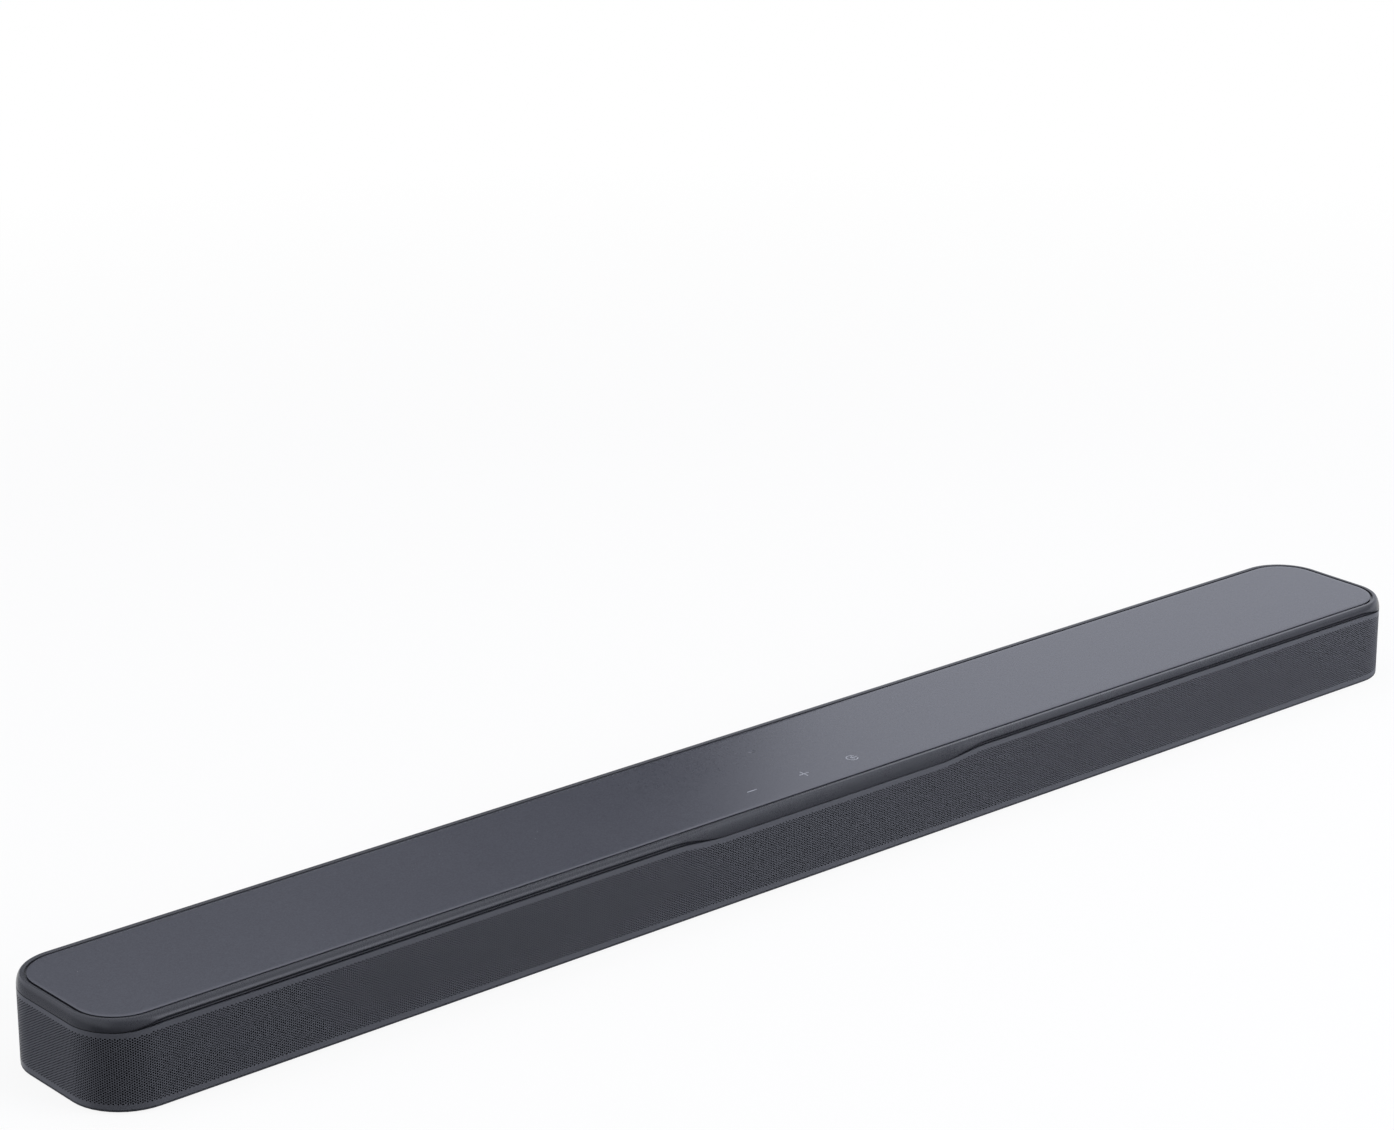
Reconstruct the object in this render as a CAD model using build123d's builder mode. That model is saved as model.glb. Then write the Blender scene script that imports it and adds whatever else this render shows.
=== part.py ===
from build123d import *
from math import asin, degrees
import os

os.makedirs("parts", exist_ok=True)

# A one-piece soundbar in millimetres. X runs along the bar, the front faces -Y and +Z is up.
# The origin is on the surface that the bar stands on, under the middle of its plan.

# Outer form
LENGTH = 940.0
DEPTH = 100.0
BODY_HEIGHT = 48.0
CORNER_RADIUS = 30.5
FOOT_STAND = 1.5

# Top panel, the deck under it and the rim round it, which is narrower at the ends
PANEL_THICKNESS = 1.2
PANEL_ROUND = 0.8
PANEL_GROOVE = 1.0
DECK_THICKNESS = 2.0
RIM_WIDTH = 5.1
RIM_END_WIDTH = 3.6
RIM_RADIUS = 3.4

# Lower edge of the rim, measured down from the top, and the undercut below it
RIM_DROP_ENDS = 6.0
RIM_DROP_FRONT = 2.6
RIM_DROP_LIP = 7.0
SCOOP_DEPTH = 2.2
SKIRT_WALL = 1.6
SKIRT_LAP = 1.5

# Where the edge lines rise and dip along the front
LIP_LENGTH = 168.0
LIP_RAMP = 28.0
CORNER_START = 8.0
CORNER_RAMP = 30.0

# Perforated grille, shown whole here, and the cloth behind it
GRILLE_WALL = 0.8
GRILLE_GAP = 0.7
GRILLE_FRONT_GAP = 2.4
GRILLE_FOOT_GAP = 0.2
GRILLE_RETURN = 9.5
CLOTH_WALL = 0.4
CLOTH_GAP = 0.05
CLOTH_LAP = 1.0

# Bottom case
BASE_EDGE = 0.8
BASE_THICKNESS = 2.4
END_WALL = 1.8
SEAM = 0.3

# Feet
FOOT_LENGTH = 60.0
FOOT_WIDTH = 14.0
FOOT_SINK = 0.6
FOOT_END_INSET = 90.0
FOOT_SIDE_INSET = 20.0

# Baffle and speaker enclosures
BAFFLE_INSET = 8.0
BAFFLE_WALL = 2.5
BOX_WALL = 1.8
BOX_DEPTH = 31.5
SIDE_BOX_LENGTH = 158.0
CENTRE_BOX_LENGTH = 316.0
BAFFLE_END_GAP = 2.0

# Racetrack woofers
SIDE_WOOFER_INSET = 93.0
CENTRE_WOOFER_X = 95.0
FLANGE_LENGTH = 100.0
FLANGE_HEIGHT = 42.0
FLANGE_CORNER = 8.0
FLANGE_WALL = 2.0
BASKET_LENGTH = 92.0
BASKET_HEIGHT = 35.0
BASKET_DEPTH = 14.0
BASKET_WALL = 1.2
BASKET_WINDOW = 24.0
WINDOW_SPACING = 44.0
ROLL_RADIUS = 1.8
ROLL_WALL = 0.4
CONE_DEPTH = 8.0
CONE_WALL = 0.8
CONE_GAP = 0.3
COIL_RADIUS = 9.0
COIL_WALL = 0.5
COIL_LENGTH = 14.5
COIL_GAP = 0.3
NECK_STRETCH = 0.8
CAP_HEIGHT = 4.0
SPIDER_WALL = 0.4
SPIDER_FOOT = 2.0
SPIDER_RISE = 3.6
MOTOR_GAP = 0.8
MAGNET_DEPTH = 6.0
POLE_DEPTH = 3.0
POLE_STEP = 0.4
CUP_WALL = 3.2
CUP_FLOOR = 2.5
GLUE_LINE = 0.05

# Dome tweeters
SIDE_TWEETER_INSET = 20.0
TWEETER_PLATE = 36.0
TWEETER_CORNER = 5.0
TWEETER_PLATE_WALL = 2.0
DOME_RADIUS = 9.6
DOME_HEIGHT = 3.4
DOME_WALL = 0.3
DOME_EDGE = 2.4
DOME_GAP = 0.5
TWEETER_CAN_WALL = 2.0
TWEETER_CAN_DEPTH = 5.0
TWEETER_COIL_LENGTH = 8.0
TWEETER_MAGNET_DEPTH = 4.0
TWEETER_POLE_DEPTH = 2.4

# Small parts behind the grille
DISPLAY_LENGTH = 54.0
DISPLAY_HEIGHT = 14.0
DISPLAY_STAND = 3.0
DISPLAY_BOARD_MARGIN = 4.0
RECEIVER_SIZE = 7.0
RECEIVER_DOME = 2.6

# Circuit boards
BOARD_WALL = 1.6
BOARD_STAND = 5.0
BOARD_POST_RADIUS = 3.0
BOARD_HOLE_INSET = 4.0
BOARD_DEPTH = 30.0
MAIN_BOARD_X = -90.0
MAIN_BOARD_LENGTH = 132.0
POWER_BOARD_X = 100.0
POWER_BOARD_LENGTH = 142.0
TOUCH_LENGTH = 104.0
TOUCH_WIDTH = 62.0
TOUCH_WALL = 1.0
TOUCH_Y = -4.0
CHIP_SIZE = 13.0
CHIP_WALL = 2.0
SINK_LENGTH = 44.0
SINK_WIDTH = 16.0
SINK_FLOOR = 3.0
SINK_HEIGHT = 16.0
SINK_FIN = 1.4
SINK_FINS = 8
TRANSFORMER = (28.0, 20.0, 22.0)
CAPACITOR_RADIUS = 5.5
CAPACITOR_HEIGHT = 24.0
CAPACITOR_SPACING = 14.0
CAPACITORS = 3
ANTENNA_LENGTH = 40.0
ANTENNA_HEIGHT = 12.0
ANTENNA_WALL = 0.8

# Rear panel with its two bays and the wall-bracket bosses
REAR_WALL = 2.0
BAY_DEPTH = 16.0
BAY_WALL = 1.8
BAY_LOW = 6.5
BAY_HIGH = 33.0
SIGNAL_BAY_LENGTH = 120.0
POWER_BAY_X = 110.0
POWER_BAY_LENGTH = 50.0
INSERT_END_INSET = 170.0
INSERT_RADIUS = 3.2
INSERT_BORE = 1.65
INSERT_LENGTH = 10.0
INSERT_BOSS_WALL = 2.8

# Connectors: mouth, wall and depth of each shell
PORT_FIT = 0.2
PORT_SETBACK = 0.4
HDMI_OFFSETS = (-42.0, -18.0)
HDMI_MOUTH = (14.2, 4.6)
HDMI_WALL = 0.6
HDMI_DEPTH = 12.0
HDMI_TONGUE = (11.6, 0.9)
USB_OFFSET = 8.0
USB_MOUTH = (13.0, 5.6)
USB_WALL = 0.7
USB_DEPTH = 14.0
USB_TONGUE = (11.0, 1.8)
OPTICAL_OFFSET = 34.0
OPTICAL_MOUTH = 5.4
OPTICAL_WALL = 2.2
OPTICAL_DEPTH = 13.0
TONGUE_SETBACK = 1.2
INLET_Z = 20.0
INLET_FLANGE = (28.0, 17.0)
INLET_FLANGE_WALL = 2.0
INLET_MOUTH = (16.6, 8.2)
INLET_WALL = 1.8
INLET_DEPTH = 15.0
INLET_FLOOR = 2.0
INLET_PIN_RADIUS = 1.2
INLET_PIN_SPACING = 8.6

# Fasteners
END_POST_INSET = 14.0
END_POST_Y = 20.0
REAR_POST_INSET = 14.0
REAR_POST_OFFSETS = (-70.0, 36.0)
FRONT_POST_Y = -22.0
CASE_BOSS_RADIUS = 4.0
CASE_BOSS_FOOT = 5.0
CASE_SEAT_DEPTH = 3.2
CASE_SCREW_RADIUS = 1.5
CASE_SCREW_LENGTH = 16.0
CASE_HEAD_RADIUS = 3.2
CASE_HEAD_HEIGHT = 2.2
DRIVER_SCREW_RADIUS = 1.3
DRIVER_SCREW_LENGTH = 4.4
DRIVER_HEAD_RADIUS = 2.6
DRIVER_HEAD_HEIGHT = 1.4
DRIVER_SCREW_INSET = 5.0
TWEETER_SCREW_INSET = 4.0
BOARD_SCREW_RADIUS = 1.2
BOARD_SCREW_LENGTH = 5.5
BOARD_HEAD_RADIUS = 2.4
BOARD_HEAD_HEIGHT = 1.5
SCREW_FIT = 0.05
HEAD_FIT = 0.4
OVERCUT = 5.0

# Levels and faces worked out from the sizes above
BODY_BOTTOM = FOOT_STAND
BODY_TOP = BODY_BOTTOM + BODY_HEIGHT
DECK_TOP = BODY_TOP - PANEL_THICKNESS
DECK_UNDER = DECK_TOP - DECK_THICKNESS
BASE_TOP = BODY_BOTTOM + BASE_THICKNESS
GRILLE_FOOT = BODY_BOTTOM + BASE_EDGE + GRILLE_FOOT_GAP
SKIRT_INNER = SCOOP_DEPTH + SKIRT_WALL
REAR_HALF = LENGTH / 2 - CORNER_RADIUS - GRILLE_RETURN
BAFFLE_FRONT = -DEPTH / 2 + BAFFLE_INSET
BAFFLE_BACK = BAFFLE_FRONT + BAFFLE_WALL
BAFFLE_HALF = REAR_HALF - BAFFLE_END_GAP
BOX_BACK = BAFFLE_BACK + BOX_DEPTH
DRIVER_Z = (BASE_TOP + DECK_UNDER) / 2
BOARD_UNDER = BASE_TOP + BOARD_STAND
BOARD_TOP = BOARD_UNDER + BOARD_WALL
BAY_FACE = DEPTH / 2 - BAY_DEPTH
BAY_BACK = BAY_FACE - BAY_WALL
BOARD_REAR = BAY_BACK - SEAM
BOARD_FRONT = BOARD_REAR - BOARD_DEPTH
PORT_MOUTH_Y = BAY_FACE - PORT_SETBACK
WALL_X = LENGTH / 2 - INSERT_END_INSET
FOOT_GRID = (LENGTH - 2 * FOOT_END_INSET, DEPTH - 2 * FOOT_SIDE_INSET)

# Edge lines: height at the ends and the rear, along the front, and in the lip
RIM_LINE = (BODY_TOP - RIM_DROP_ENDS, BODY_TOP - RIM_DROP_FRONT, BODY_TOP - RIM_DROP_LIP)
GRILLE_LINE = (RIM_LINE[0] - GRILLE_GAP, RIM_LINE[1] - GRILLE_FRONT_GAP, RIM_LINE[2] - GRILLE_GAP)
SKIRT_LINE = tuple(height - SKIRT_LAP for height in GRILLE_LINE)
CLOTH_LINE = tuple(height - CLOTH_LAP for height in GRILLE_LINE)
SKIRT_LOW = min(SKIRT_LINE)

# Places of the loudspeakers, of the parts in the gaps between the enclosures, and of the screws
SIDE_WOOFER_X = BAFFLE_HALF - SIDE_WOOFER_INSET
SIDE_TWEETER_X = BAFFLE_HALF - SIDE_TWEETER_INSET
WOOFER_X = (-SIDE_WOOFER_X, -CENTRE_WOOFER_X, CENTRE_WOOFER_X, SIDE_WOOFER_X)
TWEETER_X = (-SIDE_TWEETER_X, 0.0, SIDE_TWEETER_X)
SIDE_BOX = (BAFFLE_HALF - SIDE_BOX_LENGTH, BAFFLE_HALF)
GAP_X = (CENTRE_BOX_LENGTH / 2 + SIDE_BOX[0]) / 2
DISPLAY_X = GAP_X
RECEIVER_X = -GAP_X
ANTENNA_X = WALL_X + REAR_POST_OFFSETS[0]
REAR_POST_Y = DEPTH / 2 - REAR_POST_INSET
CASE_POSTS = [
    (side * x, y)
    for side in (-1, 1)
    for x, y in (
        (LENGTH / 2 - END_POST_INSET, END_POST_Y),
        (WALL_X + REAR_POST_OFFSETS[0], REAR_POST_Y),
        (WALL_X + REAR_POST_OFFSETS[1], REAR_POST_Y),
        (GAP_X, FRONT_POST_Y),
    )
]


def outline(inset, mode=Mode.ADD):
    """Plan of the bar, drawn in from its outer face by inset."""
    RectangleRounded(LENGTH - 2 * inset, DEPTH - 2 * inset, CORNER_RADIUS - inset, mode=mode)


def recess_outline(inset):
    """Plan of the opening inside the rim, drawn in by inset."""
    end, side = RIM_END_WIDTH + inset, RIM_WIDTH + inset
    RectangleRounded(LENGTH - 2 * end, DEPTH - 2 * side, CORNER_RADIUS - side)


def slab(x_range, y_range, z_range, mode=Mode.ADD):
    """Rectangular block between the given limits."""
    spans = (x_range, y_range, z_range)
    with Locations(tuple((low + high) / 2 for low, high in spans)):
        Box(*(high - low for low, high in spans), mode=mode)


def spread(middle, length):
    """Low and high limit of a length about its middle."""
    return middle - length / 2, middle + length / 2


def edge_block(line, limit):
    """Block between an edge line and a level limit, over the whole plan of the bar."""
    ends, front, lip = line
    far = LENGTH / 2 + OVERCUT
    rise = LENGTH / 2 - CORNER_START
    half_lip = LIP_LENGTH / 2
    half = [
        (far, ends),
        (rise, ends),
        (rise - CORNER_RAMP, front),
        (half_lip + LIP_RAMP, front),
        (half_lip, lip),
    ]
    stations = [(-x, z) for x, z in half] + half[::-1]
    reach = DEPTH / 2 + OVERCUT
    with BuildPart() as block:
        with BuildSketch(Plane.XZ):
            with BuildLine():
                for (x0, z0), (x1, z1) in zip(stations, stations[1:]):
                    if z0 == z1:
                        Line((x0, z0), (x1, z1))
                    else:
                        middle = (x0 + x1) / 2
                        Bezier((x0, z0), (middle, z0), (middle, z1), (x1, z1))
                Polyline((far, ends), (far, limit), (-far, limit), (-far, ends))
            make_face()
        extrude(amount=reach)
        slab((-far, far), (0, reach), (min(ends, limit), max(ends, limit)))
    return block.part


def rear_window(low, high):
    """Block that opens the rear face between the grille's two rear edges."""
    with BuildPart() as window:
        slab((-REAR_HALF, REAR_HALF), (DEPTH / 4, DEPTH / 2 + OVERCUT), (low, high))
    return window.part


def driver_plane(x):
    """Plane on the baffle's front face at a loudspeaker's centre, looking forward."""
    return Plane(origin=(x, BAFFLE_FRONT, DRIVER_Z), x_dir=(1, 0, 0), z_dir=(0, -1, 0))


def profile_plane(x):
    """Plane through a loudspeaker's axis: x is the radius and y runs forward."""
    return Plane(origin=(x, BAFFLE_FRONT, DRIVER_Z), x_dir=(1, 0, 0), z_dir=(0, 0, -1))


def driver_axis(x):
    """Axis of a loudspeaker, pointing forward."""
    return Axis((x, BAFFLE_FRONT, DRIVER_Z), (0, -1, 0))


def cap_arc(edge, foot, crown):
    """Arc of a spherical cap in a profile plane, from its edge up to its crown on the axis."""
    rise = crown - foot
    radius = (edge**2 + rise**2) / (2 * rise)
    sweep_angle = degrees(asin(edge / radius))
    return CenterArc((0, crown - radius), radius, 90 - sweep_angle, sweep_angle)


def corner_points(length, height, inset):
    """Four screw places at the corners of a plate."""
    x, y = length / 2 - inset, height / 2 - inset
    return [(-x, -y), (-x, y), (x, -y), (x, y)]


def keep(piece, name):
    """Name a finished piece and write its file."""
    piece.label = name
    export_step(piece, f"parts/{name}.step")


WOOFER_SCREWS = corner_points(FLANGE_LENGTH, FLANGE_HEIGHT, DRIVER_SCREW_INSET)
TWEETER_SCREWS = corner_points(TWEETER_PLATE, TWEETER_PLATE, TWEETER_SCREW_INSET)
MAIN_BOARD_HOLES = [
    (MAIN_BOARD_X + x, (BOARD_FRONT + BOARD_REAR) / 2 + y)
    for x, y in corner_points(MAIN_BOARD_LENGTH, BOARD_DEPTH, BOARD_HOLE_INSET)
]
POWER_BOARD_HOLES = [
    (POWER_BOARD_X + x, (BOARD_FRONT + BOARD_REAR) / 2 + y)
    for x, y in corner_points(POWER_BOARD_LENGTH, BOARD_DEPTH, BOARD_HOLE_INSET)
]
BOARD_HOLES = MAIN_BOARD_HOLES + POWER_BOARD_HOLES

# Bottom case: base plate whose thin edge shows, end walls, bosses and board posts
with BuildPart() as bottom_case:
    with BuildSketch(Plane.XY.offset(BODY_BOTTOM)):
        outline(0)
    extrude(amount=BASE_EDGE)
    with BuildSketch(Plane.XY.offset(BODY_BOTTOM)):
        outline(SCOOP_DEPTH)
    extrude(amount=BASE_THICKNESS)
    with BuildSketch(Plane.XY.offset(BASE_TOP)):
        outline(SCOOP_DEPTH)
        outline(SCOOP_DEPTH + END_WALL, mode=Mode.SUBTRACT)
        Rectangle(2 * REAR_HALF, DEPTH, mode=Mode.SUBTRACT)
    extrude(amount=SKIRT_LINE[0] - SEAM - BASE_TOP)
    with BuildSketch(Plane.XY.offset(BASE_TOP)):
        with Locations(*CASE_POSTS):
            Circle(CASE_BOSS_RADIUS + HEAD_FIT)
    extrude(amount=CASE_BOSS_FOOT)
    with BuildSketch(Plane.XY.offset(BASE_TOP)):
        with Locations(*BOARD_HOLES):
            Circle(BOARD_POST_RADIUS)
    extrude(amount=BOARD_STAND)
    with BuildSketch(Plane.XY.offset(BOARD_UNDER)):
        with Locations(*BOARD_HOLES):
            Circle(BOARD_SCREW_RADIUS + SCREW_FIT)
    extrude(amount=-BOARD_STAND, mode=Mode.SUBTRACT)
    with BuildSketch(Plane.XY.offset(BODY_BOTTOM)):
        with Locations(*CASE_POSTS):
            Circle(CASE_HEAD_RADIUS + HEAD_FIT)
    extrude(amount=CASE_SEAT_DEPTH, mode=Mode.SUBTRACT)
    with BuildSketch(Plane.XY.offset(BODY_BOTTOM)):
        with Locations(*CASE_POSTS):
            Circle(CASE_SCREW_RADIUS + SCREW_FIT)
    extrude(amount=BASE_THICKNESS + CASE_BOSS_FOOT, mode=Mode.SUBTRACT)
    with BuildSketch(Plane.XY.offset(BODY_BOTTOM)):
        with GridLocations(*FOOT_GRID, 2, 2):
            SlotOverall(FOOT_LENGTH + 2 * HEAD_FIT, FOOT_WIDTH + 2 * HEAD_FIT)
    extrude(amount=FOOT_SINK, mode=Mode.SUBTRACT)
keep(bottom_case.part, "bottom_case")

with BuildPart() as feet:
    with BuildSketch():
        with GridLocations(*FOOT_GRID, 2, 2):
            SlotOverall(FOOT_LENGTH, FOOT_WIDTH)
    extrude(amount=FOOT_STAND + FOOT_SINK)
keep(feet.part, "feet")

# Top cover: deck, rounded rim with the undercut below it, skirt behind the grille and posts
with BuildPart() as rim_relief:
    add(edge_block(RIM_LINE, SKIRT_LOW - OVERCUT))
    with BuildSketch(Plane.XY.offset(SKIRT_LOW - OVERCUT)):
        outline(SCOOP_DEPTH)
    extrude(amount=BODY_HEIGHT, mode=Mode.SUBTRACT)

with BuildPart() as top_cover:
    with BuildSketch(Plane.XY.offset(SKIRT_LOW)):
        outline(0)
    extrude(amount=BODY_TOP - SKIRT_LOW)
    fillet(top_cover.faces().sort_by(Axis.Z)[-1].edges(), radius=RIM_RADIUS)
    with BuildSketch(Plane.XY.offset(SKIRT_LOW)):
        outline(SKIRT_INNER)
    extrude(amount=DECK_UNDER - SKIRT_LOW, mode=Mode.SUBTRACT)
    with BuildSketch(Plane.XY.offset(DECK_TOP)):
        recess_outline(0)
    extrude(amount=PANEL_THICKNESS, mode=Mode.SUBTRACT)
    add(rim_relief.part, mode=Mode.SUBTRACT)
    add(edge_block(SKIRT_LINE, SKIRT_LOW - OVERCUT), mode=Mode.SUBTRACT)
    with BuildSketch(Plane.XY.offset(DECK_TOP)):
        with Locations((0, TOUCH_Y)):
            Rectangle(TOUCH_LENGTH + 2 * HEAD_FIT, TOUCH_WIDTH + 2 * HEAD_FIT)
    extrude(amount=-TOUCH_WALL, mode=Mode.SUBTRACT)
    with BuildSketch(Plane.XY.offset(BASE_TOP + CASE_BOSS_FOOT)):
        with Locations(*CASE_POSTS):
            Circle(CASE_BOSS_RADIUS)
    extrude(amount=DECK_UNDER - BASE_TOP - CASE_BOSS_FOOT)
    with BuildSketch(Plane.XY.offset(BASE_TOP + CASE_BOSS_FOOT)):
        with Locations(*CASE_POSTS):
            Circle(CASE_SCREW_RADIUS + SCREW_FIT)
    extrude(amount=CASE_SCREW_LENGTH, mode=Mode.SUBTRACT)
keep(top_cover.part, "top_cover")

with BuildPart() as top_panel:
    with BuildSketch(Plane.XY.offset(DECK_TOP)):
        recess_outline(PANEL_GROOVE)
    extrude(amount=PANEL_THICKNESS)
    fillet(top_panel.faces().sort_by(Axis.Z)[-1].edges(), radius=PANEL_ROUND)
keep(top_panel.part, "top_panel")

with BuildPart() as touch_board:
    with BuildSketch(Plane.XY.offset(DECK_TOP)):
        with Locations((0, TOUCH_Y)):
            Rectangle(TOUCH_LENGTH, TOUCH_WIDTH)
    extrude(amount=-TOUCH_WALL)
keep(touch_board.part, "touch_board")

# Grille sheet and cloth, wrapped from one side of the rear to the other
with BuildPart() as grille:
    with BuildSketch(Plane.XY.offset(GRILLE_FOOT)):
        outline(0)
        outline(GRILLE_WALL, mode=Mode.SUBTRACT)
    extrude(amount=BODY_TOP - GRILLE_FOOT)
    add(edge_block(GRILLE_LINE, BODY_TOP + OVERCUT), mode=Mode.SUBTRACT)
    add(rear_window(GRILLE_FOOT, BODY_TOP), mode=Mode.SUBTRACT)
keep(grille.part, "grille")

with BuildPart() as grille_cloth:
    with BuildSketch(Plane.XY.offset(GRILLE_FOOT)):
        outline(GRILLE_WALL + CLOTH_GAP)
        outline(GRILLE_WALL + CLOTH_GAP + CLOTH_WALL, mode=Mode.SUBTRACT)
    extrude(amount=BODY_TOP - GRILLE_FOOT)
    add(edge_block(CLOTH_LINE, BODY_TOP + OVERCUT), mode=Mode.SUBTRACT)
    add(rear_window(GRILLE_FOOT, BODY_TOP), mode=Mode.SUBTRACT)
keep(grille_cloth.part, "grille_cloth")

# Rear panel: plate with a bay for the signal plugs, one for the mains plug, and two bosses
SIGNAL_BAY = spread(MAIN_BOARD_X, SIGNAL_BAY_LENGTH)
POWER_BAY = spread(POWER_BAY_X, POWER_BAY_LENGTH)
PLATE_Y = (DEPTH / 2 - REAR_WALL, DEPTH / 2)
HDMI_Z = BOARD_TOP + HDMI_WALL + HDMI_MOUTH[1] / 2
USB_Z = BOARD_TOP + USB_WALL + USB_MOUTH[1] / 2
OPTICAL_Z = BOARD_TOP + OPTICAL_WALL + OPTICAL_MOUTH / 2
HDMI_X = tuple(MAIN_BOARD_X + offset for offset in HDMI_OFFSETS)
USB_X = MAIN_BOARD_X + USB_OFFSET
OPTICAL_X = MAIN_BOARD_X + OPTICAL_OFFSET


def port_hole(x, z, mouth, wall):
    """Opening in the bay's back wall that a connector's shell passes through."""
    slab(
        spread(x, mouth[0] + 2 * (wall + PORT_FIT)),
        (BAY_BACK - SEAM, BAY_FACE + SEAM),
        spread(z, mouth[1] + 2 * (wall + PORT_FIT)),
        mode=Mode.SUBTRACT,
    )


with BuildPart() as rear_panel:
    slab((-REAR_HALF + SEAM, REAR_HALF - SEAM), PLATE_Y, (BODY_BOTTOM + BASE_EDGE, GRILLE_LINE[0]))
    for low, high in (SIGNAL_BAY, POWER_BAY):
        slab(
            (low - BAY_WALL, high + BAY_WALL),
            (BAY_BACK, DEPTH / 2),
            (BAY_LOW - BAY_WALL, BAY_HIGH + BAY_WALL),
        )
    with BuildSketch(Plane.XZ.offset(-DEPTH / 2)):
        with Locations((-WALL_X, DRIVER_Z), (WALL_X, DRIVER_Z)):
            Circle(INSERT_RADIUS + INSERT_BOSS_WALL)
    extrude(amount=INSERT_LENGTH + REAR_WALL)
    for low, high in (SIGNAL_BAY, POWER_BAY):
        slab((low, high), (BAY_FACE, DEPTH / 2), (BAY_LOW, BAY_HIGH), mode=Mode.SUBTRACT)
    with BuildSketch(Plane.XZ.offset(-DEPTH / 2)):
        with Locations((-WALL_X, DRIVER_Z), (WALL_X, DRIVER_Z)):
            Circle(INSERT_RADIUS)
    extrude(amount=INSERT_LENGTH, mode=Mode.SUBTRACT)
    for x in HDMI_X:
        port_hole(x, HDMI_Z, HDMI_MOUTH, HDMI_WALL)
    port_hole(USB_X, USB_Z, USB_MOUTH, USB_WALL)
    port_hole(OPTICAL_X, OPTICAL_Z, (OPTICAL_MOUTH, OPTICAL_MOUTH), OPTICAL_WALL)
    with BuildSketch(Plane.XZ.offset(-BAY_FACE)):
        with Locations((POWER_BAY_X, INLET_Z)):
            SlotOverall(
                INLET_MOUTH[0] + 2 * (INLET_WALL + PORT_FIT),
                INLET_MOUTH[1] + 2 * (INLET_WALL + PORT_FIT),
            )
    extrude(amount=BAY_WALL, mode=Mode.SUBTRACT)
keep(rear_panel.part, "rear_panel")

with BuildPart() as wall_inserts:
    with BuildSketch(Plane.XZ.offset(-DEPTH / 2)):
        with Locations((-WALL_X, DRIVER_Z), (WALL_X, DRIVER_Z)):
            Circle(INSERT_RADIUS - SCREW_FIT)
            Circle(INSERT_BORE, mode=Mode.SUBTRACT)
    extrude(amount=INSERT_LENGTH)
keep(wall_inserts.part, "wall_inserts")

# Baffle: plate between the base and the deck, with an opening for each part that it carries
with BuildPart() as front_baffle:
    slab((-BAFFLE_HALF, BAFFLE_HALF), (BAFFLE_FRONT, BAFFLE_BACK), (BASE_TOP, DECK_UNDER))
    for x in WOOFER_X:
        with BuildSketch(driver_plane(x)):
            SlotOverall(BASKET_LENGTH + 2 * HEAD_FIT, BASKET_HEIGHT + 2 * HEAD_FIT)
            with Locations(*WOOFER_SCREWS):
                Circle(DRIVER_SCREW_RADIUS + SCREW_FIT)
        extrude(amount=-BAFFLE_WALL, mode=Mode.SUBTRACT)
    for x in TWEETER_X:
        with BuildSketch(driver_plane(x)):
            Circle(DOME_RADIUS + DOME_EDGE + DOME_GAP + TWEETER_CAN_WALL + HEAD_FIT)
            with Locations(*TWEETER_SCREWS):
                Circle(DRIVER_SCREW_RADIUS + SCREW_FIT)
        extrude(amount=-BAFFLE_WALL, mode=Mode.SUBTRACT)
    with BuildSketch(driver_plane(DISPLAY_X)):
        Rectangle(DISPLAY_LENGTH + 2 * PORT_FIT, DISPLAY_HEIGHT + 2 * PORT_FIT)
    extrude(amount=-BAFFLE_WALL, mode=Mode.SUBTRACT)
    with BuildSketch(driver_plane(RECEIVER_X)):
        Rectangle(RECEIVER_SIZE + 2 * PORT_FIT, RECEIVER_SIZE + 2 * PORT_FIT)
    extrude(amount=-BAFFLE_WALL, mode=Mode.SUBTRACT)
keep(front_baffle.part, "front_baffle")


def build_enclosure(x_range):
    """Sealed box behind the baffle, open towards it."""
    z_range = (BASE_TOP + SEAM, DECK_UNDER - SEAM)
    with BuildPart() as box:
        slab(x_range, (BAFFLE_BACK, BOX_BACK), z_range)
        slab(
            (x_range[0] + BOX_WALL, x_range[1] - BOX_WALL),
            (BAFFLE_BACK, BOX_BACK - BOX_WALL),
            (z_range[0] + BOX_WALL, z_range[1] - BOX_WALL),
            mode=Mode.SUBTRACT,
        )
    return box.part


keep(build_enclosure((-SIDE_BOX[1], -SIDE_BOX[0])), "left_enclosure")
keep(build_enclosure(spread(0, CENTRE_BOX_LENGTH)), "centre_enclosure")
keep(build_enclosure(SIDE_BOX), "right_enclosure")

# Woofers: depths are measured from the baffle's front face, forward positive
BASKET_INNER = (BASKET_LENGTH - 2 * BASKET_WALL, BASKET_HEIGHT - 2 * BASKET_WALL)
ROLL_WIDTH = 2 * ROLL_RADIUS
CONE_RIM = tuple(size - 2 * (ROLL_WIDTH + CONE_GAP) for size in BASKET_INNER)
NECK_INNER = 2 * (COIL_RADIUS + COIL_GAP)
NECK_DEPTH = FLANGE_WALL - CONE_DEPTH
COIL_TOP = NECK_DEPTH + CONE_WALL
BACK_PLATE = -BASKET_DEPTH + BASKET_WALL
POLE_RADIUS = COIL_RADIUS - COIL_WALL - MOTOR_GAP
CUP_BORE = COIL_RADIUS + MOTOR_GAP


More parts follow.
